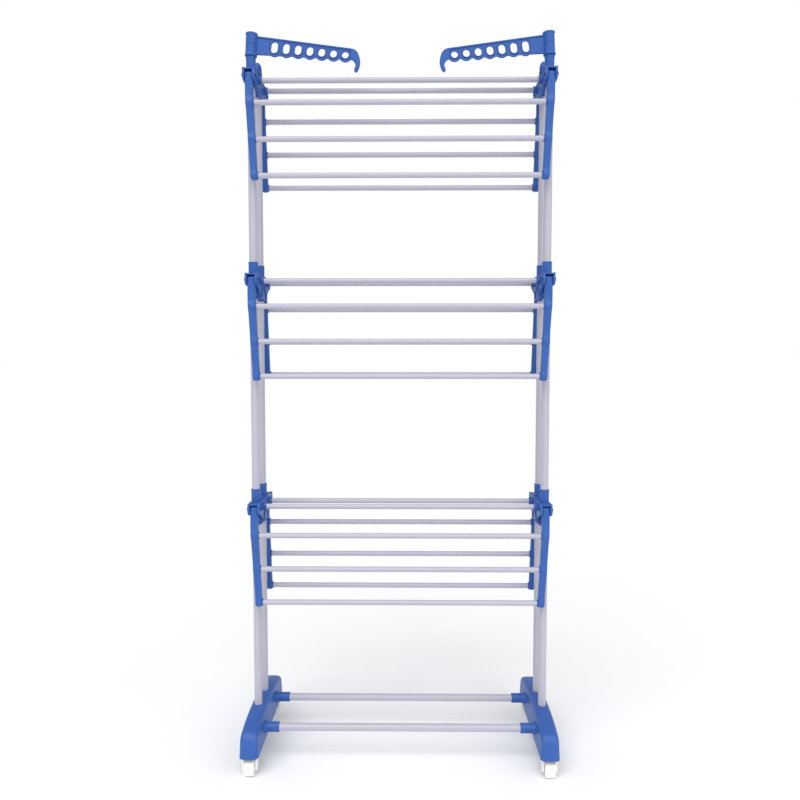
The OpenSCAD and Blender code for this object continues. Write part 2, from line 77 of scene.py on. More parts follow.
# ---- places, from the frame ----

def centre(node):
    low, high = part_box(node)
    return (low + high) / 2


POST_X = centre("post_bottom_front_right").x
POST_Y = centre("post_bottom_back_right").y
PIVOT_Y = JOINTS["wing_top_back_hinge"]["pos_m"][1]
TIER = {level: JOINTS[f"wing_{level}_back_hinge"]["pos_m"][2] for level in LEVELS}
SWIVEL = Vector(JOINTS["hanger_right_swivel"]["pos_m"])
SWIVEL_LEAN = math.atan2(JOINTS["hanger_right_swivel"]["axis"][0], JOINTS["hanger_right_swivel"]["axis"][2])
FOOT_LOW, FOOT_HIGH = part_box("foot_right")
STEM = Vector(JOINTS["castor_back_right_swivel"]["pos_m"])
AXLE = Vector(JOINTS["wheel_back_right_spin"]["pos_m"])
ROD_LEAN = math.radians(2.4)


# ---- sizes and colours ----

def linear(hex_colour):
    """An sRGB hex colour as linear red, green and blue."""
    parts = [int(hex_colour[i:i + 2], 16) / 255 for i in (1, 3, 5)]
    return tuple(c / 12.92 if c <= 0.04045 else ((c + 0.055) / 1.055) ** 2.4 for c in parts)


def length(name, description, value_mm, low_mm, high_mm):
    return FloatProperty(name=name, description=description, default=value_mm * MM,
                         min=low_mm * MM, max=high_mm * MM, subtype="DISTANCE", unit="LENGTH", precision=4)


def colour(name, description, hex_colour):
    return FloatVectorProperty(name=name, description=description, default=linear(hex_colour),
                               min=0.0, max=1.0, size=3, subtype="COLOR")


class RackSizes(bpy.types.PropertyGroup):
    """Sizes of the rack's details that the frame leaves open."""
    post_wall: length("Post wall", "Wall of the posts and of the base rods", 0.8, 0.4, 2)
    rod_wall: length("Rod wall", "Wall of the drying rods", 0.6, 0.3, 1.5)
    tube_lip: length("Tube lip", "Rounding of a tube's cut end", 0.2, 0.05, 0.3)
    moulding_round: length("Moulding rounding", "Rounding of a moulding's rims", 0.9, 0.2, 1.5)
    scoop_depth: length("Scoop depth", "Depth of the hollows between an arm's rods", 1.1, 0, 2)
    scoop_reach: FloatProperty(name="Scoop reach", description="Share of an arm's width that a hollow takes",
                               default=0.68, min=0.2, max=0.9, subtype="FACTOR")
    slot_rim: length("Slot rim", "Width of the raised rim round a hanger slot", 2.2, 1, 3)
    cap_ridges: IntProperty(name="Cap ridges", description="Grip ridges round a back post's cap",
                            default=4, min=0, max=6)
    tube_sides: IntProperty(name="Tube sides", description="Facets round a tube", default=48, min=16, max=96)


class RackColours(bpy.types.PropertyGroup):
    """Colours of the rack's finishes and of the floor."""
    plastic: colour("Blue plastic", "Moulded plastic of the feet, brackets and arms", "#325DA8")
    pin: colour("Pin plastic", "Plastic of the hinge pins", "#27498C")
    steel: colour("Steel coating", "Powder coating of the tubes", "#B5B4C1")
    castor: colour("Castor plastic", "Plastic of the castors", "#F0F0EE")
    zinc: colour("Zinc", "Plated steel of the axles", "#C9CCCF")
    floor: colour("Floor", "Studio floor", "#FDFDFD")


# ---- finishes ----

def add_node(tree, kind, settings, inputs):
    """Adds a node. Each input is a value, or the output socket of another node."""
    node = tree.nodes.new(kind)
    for name, value in settings.items():
        setattr(node, name, value)
    for key, value in inputs.items():
        if isinstance(value, bpy.types.NodeSocket):
            tree.links.new(value, node.inputs[key])
        else:
            node.inputs[key].default_value = value
    return node


def finish(name, base, tone_spread, patch_mm, grain_mm, grain_height_mm, gloss, **shader):
    """A surface with slow changes of tone, a fine grain and an uneven gloss, from real sizes."""
    material = bpy.data.materials.new(name)
    material.use_nodes = True
    tree = material.node_tree
    principled = tree.nodes["Principled BSDF"]
    place = add_node(tree, "ShaderNodeTexCoord", {}, {}).outputs["Object"]
    patches = add_node(tree, "ShaderNodeTexNoise", {}, {
        "Vector": place, "Scale": 1 / (patch_mm * MM), "Detail": 3.0, "Roughness": 0.55})
    grain = add_node(tree, "ShaderNodeTexNoise", {}, {
        "Vector": place, "Scale": 1 / (grain_mm * MM), "Detail": 2.0, "Roughness": 0.6})
    darker = (*[c * (1 - tone_spread) for c in base], 1)
    lighter = (*[min(1, c * (1 + tone_spread)) for c in base], 1)
    tone = add_node(tree, "ShaderNodeMapRange", {}, {
        "Value": patches.outputs["Fac"], "From Min": 0.3, "From Max": 0.7})
    mixed = add_node(tree, "ShaderNodeMix", {"data_type": "RGBA"}, {
        0: tone.outputs["Result"], 6: darker, 7: lighter})
    uneven = add_node(tree, "ShaderNodeMapRange", {}, {
        "Value": grain.outputs["Fac"], "From Min": 0.3, "From Max": 0.7,
        "To Min": gloss[0], "To Max": gloss[1]})
    bump = add_node(tree, "ShaderNodeBump", {}, {
        "Strength": 1.0, "Distance": grain_height_mm * MM, "Height": grain.outputs["Fac"]})
    tree.links.new(mixed.outputs[2], principled.inputs["Base Color"])
    tree.links.new(uneven.outputs["Result"], principled.inputs["Roughness"])
    tree.links.new(bump.outputs["Normal"], principled.inputs["Normal"])
    for socket, value in shader.items():
        principled.inputs[socket.replace("_", " ")].default_value = value
    return material


def moulded_polypropylene(name, base):
    """Polypropylene moulded in a spark-eroded tool: satin, with a fine grain and a soft broad highlight.
    The grain is really 0.2 mm, and is drawn at 0.7 mm so that it shows."""
    return finish(name, base, tone_spread=0.035, patch_mm=60, grain_mm=0.7, grain_height_mm=0.022,
                  gloss=(0.36, 0.46), IOR=1.49, Specular_IOR_Level=0.35)


def powder_coated_steel(name, base):
    """Steel tube with a powder coating: nearly smooth, with a faint orange peel of 2 mm and a low gloss."""
    return finish(name, base, tone_spread=0.015, patch_mm=90, grain_mm=2.0, grain_height_mm=0.012,
                  gloss=(0.30, 0.38), IOR=1.5, Coat_Weight=0.15, Coat_Roughness=0.2)


def moulded_nylon(name, base):
    """Nylon moulded in a polished tool: white, waxy, with a close highlight and faint scuffs."""
    return finish(name, base, tone_spread=0.02, patch_mm=12, grain_mm=1.2, grain_height_mm=0.02,
                  gloss=(0.28, 0.42), IOR=1.53, Subsurface_Weight=0.05, Subsurface_Scale=0.001)


def zinc_plated_steel(name, base):
    """Drawn steel pin with bright zinc plating: metallic, with a slightly broken shine."""
    return finish(name, base, tone_spread=0.05, patch_mm=4, grain_mm=0.8, grain_height_mm=0.01,
                  gloss=(0.22, 0.38), Metallic=1.0)


def matt_paper(name, base):
    """Seamless studio paper: pale and quite matt, with a very faint fibre."""
    return finish(name, base, tone_spread=0.004, patch_mm=400, grain_mm=3.0, grain_height_mm=0.02,
                  gloss=(0.85, 0.95), IOR=1.4)


MATERIALS = {}


def material_for(slot):
    """The finish of a material slot, made once."""
    colours = bpy.context.scene.rack_colours
    makers = {
        "blue_plastic": (moulded_polypropylene, "Polypropylene, moulded, blue", colours.plastic),
        "pin_plastic": (moulded_polypropylene, "Polypropylene, moulded, deep blue", colours.pin),
        "coated_steel": (powder_coated_steel, "Steel tube, powder coated, pale grey", colours.steel),
        "white_plastic": (moulded_nylon, "Nylon, moulded, white", colours.castor),
        "plain_steel": (zinc_plated_steel, "Steel, zinc plated", colours.zinc),
    }
    if slot not in MATERIALS:
        make, name, base = makers[slot]
        MATERIALS[slot] = make(name, base)
    return MATERIALS[slot]


# ---- outlines, as lists of points in millimetres ----

def curve(start, pull, end, steps):
    """Points of a curve that leaves start towards pull and ends at end."""
    start, pull, end = Vector(start), Vector(pull), Vector(end)
    return [start * (1 - t) ** 2 + pull * 2 * t * (1 - t) + end * t * t
            for t in (i / steps for i in range(steps + 1))]


def arc(middle, radius, start_deg, end_deg, steps):
    angles = [math.radians(start_deg + (end_deg - start_deg) * i / steps) for i in range(steps + 1)]
    return [Vector((middle[0] + radius * math.cos(a), middle[1] + radius * math.sin(a))) for a in angles]


def circle(middle, radius, steps=LATHE_SIDES):
    return arc(middle, radius, 0, 360 * (steps - 1) / steps, steps - 1)


def box_outline(x1, y1, x2, y2, radius=1.5, steps=4):
    """A rectangle with rounded corners."""
    corners = ((x2 - radius, y1 + radius, -90), (x2 - radius, y2 - radius, 0),
               (x1 + radius, y2 - radius, 90), (x1 + radius, y1 + radius, 180))
    return [p for x, y, turn in corners for p in arc((x, y), radius, turn, turn + 90, steps)]


def stadium(middle, width, height, turn_deg=0.0, steps=12):
    """An upright slot outline with round ends."""
    half, radius = (height - width) / 2, width / 2
    turn = Matrix.Rotation(math.radians(turn_deg), 2)
    ends = arc((0, half), radius, 0, 180, steps) + arc((0, -half), radius, 180, 360, steps)
    if half < 1e-6:
        ends = circle((0, 0), radius, 2 * steps)
    return [Vector(middle) + turn @ p for p in ends]


def without_doubles(points, gap=0.02):
    return [p for i, p in enumerate(points) if (p - points[i - 1]).length > gap]


def inset(points, distance):
    """The closed outline moved to its left by a distance: inwards where it runs anticlockwise."""
    moved = []
    for i, point in enumerate(points):
        before = (point - points[i - 1]).normalized()
        after = (points[(i + 1) % len(points)] - point).normalized()
        aside = Vector((-before.y - after.y, before.x + after.x))
        moved.append(point + aside * distance / max(1 + before.dot(after), 0.6))
    return moved


# ---- solids ----

def bridge(bm, ring, other):
    """Faces between two rings, either of which may be a single point."""
    count = max(len(ring), len(other))
    for k in range(count):
        after = (k + 1) % count
        corners = [ring[k % len(ring)], ring[after % len(ring)],
                   other[after % len(other)], other[k % len(other)]]
        distinct = [v for i, v in enumerate(corners) if v not in corners[:i]]
        bm.faces.new(distinct)


def outward(bm, placing=None):
    """Moves the solid, then makes every face point outwards."""
    if placing is not None:
        bm.transform(placing)
    bmesh.ops.recalc_face_normals(bm, faces=bm.faces)
    return bm


def plate(outline, low, high, rounding, holes=(), placing=None):
    """A closed plate between two heights with rounded rims. Outlines run anticlockwise, holes clockwise."""
    bm = bmesh.new()
    steps = ROUNDING_STEPS if rounding > 0 else 0
    turns = [math.pi / 2 * k / steps for k in range(steps + 1)] if steps else [math.pi / 2]
    levels = [(rounding * (1 - math.sin(a)), rounding * (1 - math.cos(a))) for a in turns]
    rims = [(sink, low + rise) for sink, rise in levels]
    rims += [(sink, high - rise) for sink, rise in reversed(levels)]
    if not steps:
        rims = [(0, low), (0, high)]
    ends = ([], [])
    for loop in (outline, *holes):
        loop = without_doubles(loop)
        rings = [[bm.verts.new((*p, height)) for p in inset(loop, sink)] for sink, height in rims]
        for ring, other in zip(rings, rings[1:]):
            bridge(bm, ring, other)
        for end, ring in zip(ends, (rings[0], rings[-1])):
            if holes:
                end.extend(bm.edges.get((ring[k - 1], ring[k])) for k in range(len(ring)))
            else:
                bm.faces.new(ring)
    for end in filter(None, ends):
        bmesh.ops.triangle_fill(bm, edges=end, normal=(0, 0, 1), use_beauty=True)
    return outward(bm, placing)


def lathe(profile, sides=LATHE_SIDES, placing=None):
    """Turns a profile of (radius, height) points round Z. One that starts off the axis is a closed ring."""
    bm = bmesh.new()
    rings = []
    for radius, height in profile:
        if radius < 1e-6:
            rings.append([bm.verts.new((0, 0, height))])
            continue
        around = [math.tau * k / sides for k in range(sides)]
        rings.append([bm.verts.new((radius * math.cos(a), radius * math.sin(a), height)) for a in around])
    closing = [] if profile[0][0] < 1e-6 else [(rings[-1], rings[0])]
    for ring, other in [*zip(rings, rings[1:]), *closing]:
        bridge(bm, ring, other)
    return outward(bm, placing)


def rounded_bar(radius, start, end, rounding=0.8, sides=LATHE_SIDES, placing=None):
    """A round bar along Z with softened ends."""
    turns = [math.pi / 2 * k / ROUNDING_STEPS for k in range(ROUNDING_STEPS + 1)]
    edge = [(radius - rounding * (1 - math.sin(a)), rounding * (1 - math.cos(a))) for a in turns]
    profile = [(0, start)] + [(r, start + rise) for r, rise in edge]
    profile += [(r, end - rise) for r, rise in reversed(edge)] + [(0, end)]
    return lathe(profile, sides, placing)


def drill(radius, start, end, sides=LATHE_SIDES, placing=None):
    return lathe([(0, start), (radius, start), (radius, end), (0, end)], sides, placing)


def at(x, y, z, turned=None):
    """A move to a point, after the given turn."""
    move = Matrix.Translation((x, y, z))
    return move @ turned if turned is not None else move


def loft(sections):
    """A closed solid through rings of points that all have the same count."""
    bm = bmesh.new()
    rings = [[bm.verts.new(p) for p in section] for section in sections]
    for ring, other in zip(rings, rings[1:]):
        bridge(bm, ring, other)
    bm.faces.new(rings[0])
    bm.faces.new(rings[-1])
    return outward(bm)


def joined(solids, cuts=()):
    """One closed mesh of overlapping solids, less the cuts."""
    steps = [("UNION", solid) for solid in solids] + [("DIFFERENCE", cut) for cut in cuts]
    helpers = []
    for _, solid in steps:
        mesh = bpy.data.meshes.new("step")
        solid.to_mesh(mesh)
        solid.free()
        helper = bpy.data.objects.new("step", mesh)
        bpy.context.scene.collection.objects.link(helper)
        helpers.append(helper)
    base = helpers[0]
    for (operation, _), helper in zip(steps[1:], helpers[1:]):
        modifier = base.modifiers.new("join", "BOOLEAN")
        modifier.operation = operation
        modifier.solver = "MANIFOLD"
        modifier.object = helper
    evaluated = base.evaluated_get(bpy.context.evaluated_depsgraph_get())
    mesh = bpy.data.meshes.new_from_object(evaluated)
    for helper in helpers:
        bpy.data.objects.remove(helper)
    if not mesh.polygons:
        raise RuntimeError("the solids could not be joined")
    result = bmesh.new()
    result.from_mesh(mesh)
    bmesh.ops.remove_doubles(result, verts=result.verts, dist=MERGE_GAP)
    bmesh.ops.dissolve_degenerate(result, dist=MERGE_GAP, edges=result.edges)
    open_edges = [edge for edge in result.edges if len(edge.link_faces) == 1]
    bmesh.ops.holes_fill(result, edges=open_edges, sides=0)
    return result


def mirrored(side=1, row=1):
    """Turns a right-hand back piece into one for the given side and row."""
    return Matrix.Diagonal((side, row, 1, 1))


def piece(name, solid, slot, body, nodes, placing):
    """Shows a solid as a piece that rides on a body and stands for CAD nodes."""
    mesh = bpy.data.meshes.new(name)
    solid.to_mesh(mesh)
    move = placing @ Matrix.Scale(MM, 4)
    mesh.transform(move)
    if move.determinant() < 0:
        mesh.flip_normals()
    obj = bpy.data.objects.new(name, mesh)
    bpy.context.scene.collection.objects.link(obj)
    return dress(obj, slot, body, nodes)


def dress(obj, slot, body, nodes):
    """Gives a finished mesh its smooth shading and its material, parents it to its body and hides the CAD
    nodes that it stands for.
    """
    mesh = obj.data
    mesh.shade_smooth()
    mesh.set_sharp_from_angle(angle=SHARP_ANGLE)
    mesh.materials.clear()
    mesh.materials.append(material_for(slot))
    weighted = obj.modifiers.new("even shading", "WEIGHTED_NORMAL")
    weighted.keep_sharp = True
    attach(obj, body)
    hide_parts(*nodes)
    return obj


# ---- tubes: rows of hollow bars along a line, by Geometry Nodes ----

def add_sockets(tree, result, **kinds):
    """Gives a tree its named inputs and its one geometry output."""
    for name, kind in kinds.items():
        tree.interface.new_socket(name, in_out="INPUT", socket_type=f"NodeSocket{kind}")
    tree.interface.new_socket(result, in_out="OUTPUT", socket_type="NodeSocketGeometry")


def tube_row_tree():
    """Geometry Nodes for a row of like tubes, each a ring of wall section swept round its axis."""
    tree = bpy.data.node_groups.get("Tube row")
    if tree:
        return tree
    tree = bpy.data.node_groups.new("Tube row", "GeometryNodeTree")
    add_sockets(tree, "Tubes", Diameter="Float", Wall="Float", Length="Float", Shortening="Float",
                Lip="Float", Sides="Int", Count="Int", First="Vector", Step="Vector", Turn="Rotation",
                Finish="Material")
    given = add_node(tree, "NodeGroupInput", {}, {}).outputs
    between = add_node(tree, "ShaderNodeMath", {"operation": "SUBTRACT"}, {
        0: given["Diameter"], 1: given["Wall"]})
    middle = add_node(tree, "ShaderNodeMath", {"operation": "MULTIPLY"}, {0: between.outputs[0], 1: 0.5})
    path = add_node(tree, "GeometryNodeCurvePrimitiveCircle", {"mode": "RADIUS"}, {
        "Radius": middle.outputs[0], "Resolution": given["Sides"]})
    section = add_node(tree, "GeometryNodeCurvePrimitiveQuadrilateral", {"mode": "RECTANGLE"}, {
        "Width": given["Wall"], "Height": given["Length"]})
    softened = add_node(tree, "GeometryNodeFilletCurve", {"mode": "POLY"}, {
        "Curve": section.outputs["Curve"], "Radius": given["Lip"], "Count": 2})
    tube = add_node(tree, "GeometryNodeCurveToMesh", {}, {
        "Curve": path.outputs["Curve"], "Profile Curve": softened.outputs["Curve"]})
    line = add_node(tree, "GeometryNodeMeshLine", {"mode": "OFFSET"}, {
        "Count": given["Count"], "Start Location": given["First"], "Offset": given["Step"]})
    index = add_node(tree, "GeometryNodeInputIndex", {}, {})
    lost = add_node(tree, "ShaderNodeMath", {"operation": "MULTIPLY"}, {
        0: index.outputs[0], 1: given["Shortening"]})
    share = add_node(tree, "ShaderNodeMath", {"operation": "DIVIDE"}, {
        0: lost.outputs[0], 1: given["Length"]})
    left = add_node(tree, "ShaderNodeMath", {"operation": "SUBTRACT"}, {0: 1.0, 1: share.outputs[0]})
    scale = add_node(tree, "ShaderNodeCombineXYZ", {}, {"X": 1.0, "Y": 1.0, "Z": left.outputs[0]})
    placed = add_node(tree, "GeometryNodeInstanceOnPoints", {}, {
        "Points": line.outputs["Mesh"], "Instance": tube.outputs["Mesh"], "Rotation": given["Turn"],
        "Scale": scale.outputs[0]})
    real = add_node(tree, "GeometryNodeRealizeInstances", {}, {"Geometry": placed.outputs["Instances"]})
    finished = add_node(tree, "GeometryNodeSetMaterial", {}, {
        "Geometry": real.outputs["Geometry"], "Material": given["Finish"]})
    add_node(tree, "NodeGroupOutput", {}, {"Tubes": finished.outputs["Geometry"]})
    return tree


def grown(name, tree, values, base=None):
    """Runs a Geometry Nodes tree with the given inputs and keeps the result as one plain mesh."""
    holder = bpy.data.objects.new(name, base or bpy.data.meshes.new(name))
    modifier = holder.modifiers.new("grow", "NODES")
    modifier.node_group = tree
    sockets = {item.name: item.identifier for item in tree.interface.items_tree if item.in_out == "INPUT"}
    for key, value in values.items():
        modifier[sockets[key]] = value
    bpy.context.scene.collection.objects.link(holder)
    evaluated = holder.evaluated_get(bpy.context.evaluated_depsgraph_get())
    mesh = bpy.data.meshes.new_from_object(evaluated)
    bpy.data.objects.remove(holder)
    if not mesh.polygons:
        raise RuntimeError(f"{name} came out empty")
    mesh.name = name
    return mesh


def tubes(name, body, nodes, diameter, wall, span, first,
          step=(0, 0, 0), count=1, turn=(0, 0, 0), shortening=0.0):
    """A row of coated tubes, in metres, that stands for CAD nodes."""
    sizes = bpy.context.scene.rack_sizes
    mesh = grown(name, tube_row_tree(), {
        "Diameter": diameter, "Wall": wall, "Length": span, "Shortening": shortening, "Lip": sizes.tube_lip,
        "Sides": sizes.tube_sides, "Count": count, "First": first, "Step": step, "Turn": turn,
        "Finish": material_for("coated_steel")})
    obj = bpy.data.objects.new(name, mesh)
    bpy.context.scene.collection.objects.link(obj)
    return dress(obj, "coated_steel", body, nodes)


LENGTHWAYS = (0, math.pi / 2, 0)


class RACK_OT_posts(bpy.types.Operator):
    """Builds the twelve post sections and the two base rods as hollow coated tubes"""
    bl_idname = "drying_rack.posts"
    bl_label = "Posts and base rods"

    def execute(self, context):
        wall = context.scene.rack_sizes.post_wall
        for level in LEVELS:
            for row in ROWS:
                for side in SIDES:
                    node = f"post_{level}_{row}_{side}"
                    low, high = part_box(node)
                    middle = (low + high) / 2
                    tubes(f"{node}_tube", "frame", [node], high.x - low.x, wall, high.z - low.z, middle)
        for row in ROWS:
            node = f"base_rod_{row}"
            low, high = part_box(node)
            tubes(f"{node}_tube", "frame", [node], high.z - low.z, wall, high.x - low.x, (low + high) / 2,
                  turn=LENGTHWAYS)
        return {"FINISHED"}


class RACK_OT_rods(bpy.types.Operator):
    """Builds the fixed rods of each tier and the three rods of each wing"""
    bl_idname = "drying_rack.rods"
    bl_label = "Drying rods"

    def execute(self, context):
        wall = context.scene.rack_sizes.rod_wall
        for level in LEVELS:
            node = f"fixed_rods_{level}"
            low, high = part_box(node)
            diameter = high.z - low.z
            first = Vector((0, low.y + diameter / 2, TIER[level]))
            tubes(f"{node}_tube", "frame", [node], diameter, wall, high.x - low.x, first,
                  step=(0, -2 * first.y, 0), count=2, turn=LENGTHWAYS)
            for row, way in ROWS.items():
                node = f"wing_rods_{level}_{row}"
                low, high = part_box(node)
                first = wing_point(level, way, ROD_FIRST)
                second = wing_point(level, way, ROD_FIRST + ROD_PITCH)
                shorter = 2 * (arm_inner(ROD_FIRST) - arm_inner(ROD_FIRST + ROD_PITCH)) * MM
                tubes(f"{node}_tube", f"wing_{level}_{row}", [node], diameter, wall, high.x - low.x, first,
                      step=second - first, count=ROD_COUNT, turn=LENGTHWAYS, shortening=shorter)
        return {"FINISHED"}


# ---- wing arms ----

ROD_COUNT = 3
ROD_FIRST, ROD_PITCH = 61.5, 81.0     # from the hinge down to the first rod, and on to the next
ARM_ROD = 5.0                         # the rods' place outside the line through the hinge
ARM_IN, ARM_OUT = -10.65, 6.25        # an arm's two side faces, seen from the post's axis
ARM_RAKE, ARM_THINNING, RAKE_START = 9.0, 1.8, 45.0
ARM_HALF, HINGE_BOSS, ROD_BOSS = 7.5, 8.5, 10.5
ARM_COLLAR, ROD_SEAT, ROD_RADIUS = 2.5, 10.0, 6.35
ARM_END = ROD_FIRST + (ROD_COUNT - 1) * ROD_PITCH
ARM_CORNER, ARM_TOP_CORNER = 4.0, 2.5                 # rounding of an arm's two ends, seen from the front
ARM_EDGE, ARM_INNER_EDGE, ARM_BACK_EDGE = 2.2, 3.4, 1.4
SCOOP_TOP, SCOOP_GAP, SCOOP_SLOPE = 4.0, 5.0, 0.22    # a hollow's first start, its gap to a rod, its flank
PIN_RADIUS = 2.5


def wing_point(level, way, down):
    """Where a hanging wing's rod lies, given its distance down the arm. A wing hangs with a slight lean."""
    out = PIVOT_Y + (ARM_ROD * math.cos(ROD_LEAN) - down * math.sin(ROD_LEAN)) * MM
    height = TIER[level] - (down * math.cos(ROD_LEAN) + ARM_ROD * math.sin(ROD_LEAN)) * MM
    return Vector((0, way * out, height))


def rake_share(down):
    return max(0.0, (down - RAKE_START) / (ARM_END - RAKE_START))


def arm_inner(down):
    return ARM_IN - (ARM_RAKE - ARM_THINNING) * rake_share(down)


def arm_outer(down):
    return ARM_OUT - ARM_RAKE * rake_share(down)


def swell(distance, reach=15.0):
    """A soft bulge, 1 in its middle and 0 at its reach."""
    return 0.5 + 0.5 * math.cos(math.pi * min(1, abs(distance) / reach))


def arm_faces(down):
    """How far the arm's back and front faces lie across, at a distance down from the hinge."""
    taper = min(1, max(0, down / ROD_FIRST))
    back = -HINGE_BOSS + (HINGE_BOSS + ARM_ROD - ARM_HALF) * taper
    front = HINGE_BOSS + (ARM_ROD + ARM_HALF - HINGE_BOSS) * taper
    bulge = sum(swell(down - ROD_FIRST - i * ROD_PITCH) for i in range(ROD_COUNT)) * (ROD_BOSS - ARM_HALF)
    if down < 0:
        front = math.sqrt(HINGE_BOSS ** 2 - down ** 2)
        back = -front
    if down > ARM_END:
        front = ARM_ROD + math.sqrt(max(0, ROD_BOSS ** 2 - (down - ARM_END) ** 2))
        back = 2 * ARM_ROD - front
        bulge = 0
    return back - bulge, front + bulge


def scoop(across_share, down, depth, reach):
    """Depth of the D-shaped hollow in an arm's front face, open at its inner edge, between two rods."""
    starts = [SCOOP_TOP] + [ROD_FIRST + i * ROD_PITCH for i in range(ROD_COUNT)]
    for start, end in zip(starts, starts[1:]):
        start, end = start + SCOOP_GAP, end - SCOOP_GAP
        if start < down < end:
            along = 2 * (down - start) / (end - start) - 1
            edge = reach * (1 - abs(along) ** 2.5)
            slope = min(1, max(0, (edge - across_share) / SCOOP_SLOPE))
            return depth * slope * slope * (3 - 2 * slope) * min(1, (1 - abs(along)) * 6)
    return 0.0


def arm_section(down, sizes):
    """A ring of the arm's cross-section: straight sides, a soft outer edge and a broad inner one."""
    end_gap = ARM_END + ROD_BOSS - down
    top_gap = down + HINGE_BOSS
    shrink = 0.0
    for gap, radius in ((end_gap, ARM_CORNER), (top_gap, ARM_TOP_CORNER)):
        if gap < radius:
            shrink += radius - math.sqrt(max(0, radius ** 2 - (radius - gap) ** 2))
    inner, outer = arm_inner(down) + shrink, arm_outer(down) - shrink
    back, front = arm_faces(down)
    limit = 0.42 * (front - back)
    soft, broad, plain = (min(edge, limit) for edge in (ARM_EDGE, ARM_INNER_EDGE, ARM_BACK_EDGE))
    ring = arc((outer - soft, front - soft), soft, 0, 90, 5)
    face_steps = 14
    x1, x2 = outer - soft, inner + broad
    for i in range(1, face_steps):
        x = x1 + (x2 - x1) * i / face_steps
        share = (x - inner) / (outer - inner)
        ring.append(Vector((x, front - scoop(share, down, sizes.scoop_depth / MM, sizes.scoop_reach))))
    rounding = arc((inner + broad, front - broad), broad, 90, 180, 6)
    hollow = scoop((broad * 0.6) / (outer - inner), down, sizes.scoop_depth / MM, sizes.scoop_reach)
    ring += [Vector((p.x, p.y - hollow * (1 - i / 6))) for i, p in enumerate(rounding)]
    ring += arc((inner + plain, back + plain), plain, 180, 270, 4)
    ring += arc((outer - plain, back + plain), plain, 270, 360, 4)
    return [Vector((p.x, p.y, -down)) for p in ring]


def arm_solid(sizes):
    """A right-hand back arm, hanging from its hinge at the origin."""
    top = [-HINGE_BOSS * math.cos(math.radians(a)) for a in range(8, 90, 9)]
    count = 118
    body = [ARM_END * i / count for i in range(count + 1)]
    bottom = [ARM_END + ROD_BOSS * math.sin(math.radians(a)) for a in range(9, 84, 9)]
    bars = loft([arm_section(down, sizes) for down in top + body + bottom])
    collars, bores = [], []
    for i in range(ROD_COUNT):
        down = ROD_FIRST + i * ROD_PITCH
        face = arm_inner(down)
        place = at(0, ARM_ROD, -down, ALONG_X)
        collars.append(rounded_bar(ROD_RADIUS + 1.8, face - ARM_COLLAR, face + 4, 0.5, placing=place))
        bores.append(drill(ROD_RADIUS + FIT, face - ARM_COLLAR - 1, face + ROD_SEAT, placing=place))
    hinge = drill(PIN_RADIUS + FIT, ARM_IN - 1, ARM_OUT + 1, 24, placing=ALONG_X)
    return joined([bars, *collars], [*bores, hinge])


class RACK_OT_wing_arms(bpy.types.Operator):
    """Builds the twelve wing arms as tapered mouldings with hollowed front faces and rod collars"""
    bl_idname = "drying_rack.wing_arms"
    bl_label = "Wing arms"

    def execute(self, context):
        solid = arm_solid(context.scene.rack_sizes)
        lean = Matrix.Rotation(-ROD_LEAN, 4, "X")
        for level in LEVELS:
            for row, way in ROWS.items():
                for side, hand in SIDES.items():
                    node = f"wing_arm_{level}_{row}_{side}"
                    place = mirrored(hand, way) @ at(POST_X, PIVOT_Y, TIER[level]) @ lean
                    piece(f"{node}_moulding", solid, "blue_plastic", f"wing_{level}_{row}", [node], place)
        solid.free()
        return {"FINISHED"}


# ---- brackets ----

PLATE_IN, SLOT_IN = -15.95, -10.95    # the inner plate's faces, seen from the post's axis
SLOT_OUT, CHEEK_OUT = 6.55, 11.55     # the outer cheek's faces
CHEEK_RADIUS = 14.5
ROOF = 14.5                           # top of the flange that roofs the hinges
ROOF_THICKNESS = 3.0
SOCKET_RADIUS = 11.15
POST_RADIUS = 9.25
COLLAR_END, COLLAR_RADIUS = -24.95, 9.15
HINGE_REACH = 33.0
SOCKET_REACH, PLATE_DEPTH = 43.0, 41.0          # of a bracket between two post sections
TOP_SOCKET_REACH, TOP_PLATE_DEPTH = 16.0, 27.0  # of a bracket on the posts' tops
STOP = 3.0                            # half the web between two post sections
FIXED_ROD_Y = 36.0


def both_ways(half):
    """A closed outline from a half that runs from the middle's bottom to its top, mirrored."""
    other = [Vector((-p.x, p.y)) for p in reversed(half)]
    return [*half, *other]


def plate_half(low):
    """Half of the inner plate's outline, from under its middle round the hinge to the roof."""
    pivot, post = PIVOT_Y / MM, POST_Y / MM
    edge = curve((post - 12, -low), (post + 16, -CHEEK_RADIUS), (pivot + 9, -CHEEK_RADIUS + 3.5), 14)
    start = math.degrees(math.asin((-CHEEK_RADIUS + 3.5) / CHEEK_RADIUS))
    reach = CHEEK_RADIUS - 2
    stop = math.degrees(math.acos(reach / CHEEK_RADIUS))
    rise = arc((pivot, 0), CHEEK_RADIUS, start, stop, 8)
    corner = arc((pivot + reach - 2, ROOF - 2), 2, 0, 90, 4)
    return [Vector((0.0, -low)), *edge, *rise, *corner, Vector((0.0, ROOF))]


def cheek_outline():
    pivot, post = PIVOT_Y / MM, POST_Y / MM
    reach = CHEEK_RADIUS - 2
    stop = math.degrees(math.acos(reach / CHEEK_RADIUS))
    corner = arc((pivot + reach - 2, ROOF - 2), 2, 0, 90, 4)
    return [Vector((post + 12.5, -CHEEK_RADIUS)), *arc((pivot, 0), CHEEK_RADIUS, -90, stop, 12), *corner,
            Vector((post + 12.5, ROOF))]


def socket(up, down):
    """A post socket with a thin lip at each end."""
    r, lip = SOCKET_RADIUS, SOCKET_RADIUS + 0.5
    profile = [(0, -down), (lip - 0.5, -down), (lip, -down + 0.5), (lip, -down + 2.4), (r, -down + 3.1)]
    profile += [(r, up - 3.1), (lip, up - 2.4), (lip, up - 0.5), (lip - 0.5, up), (0, up)]
    return profile


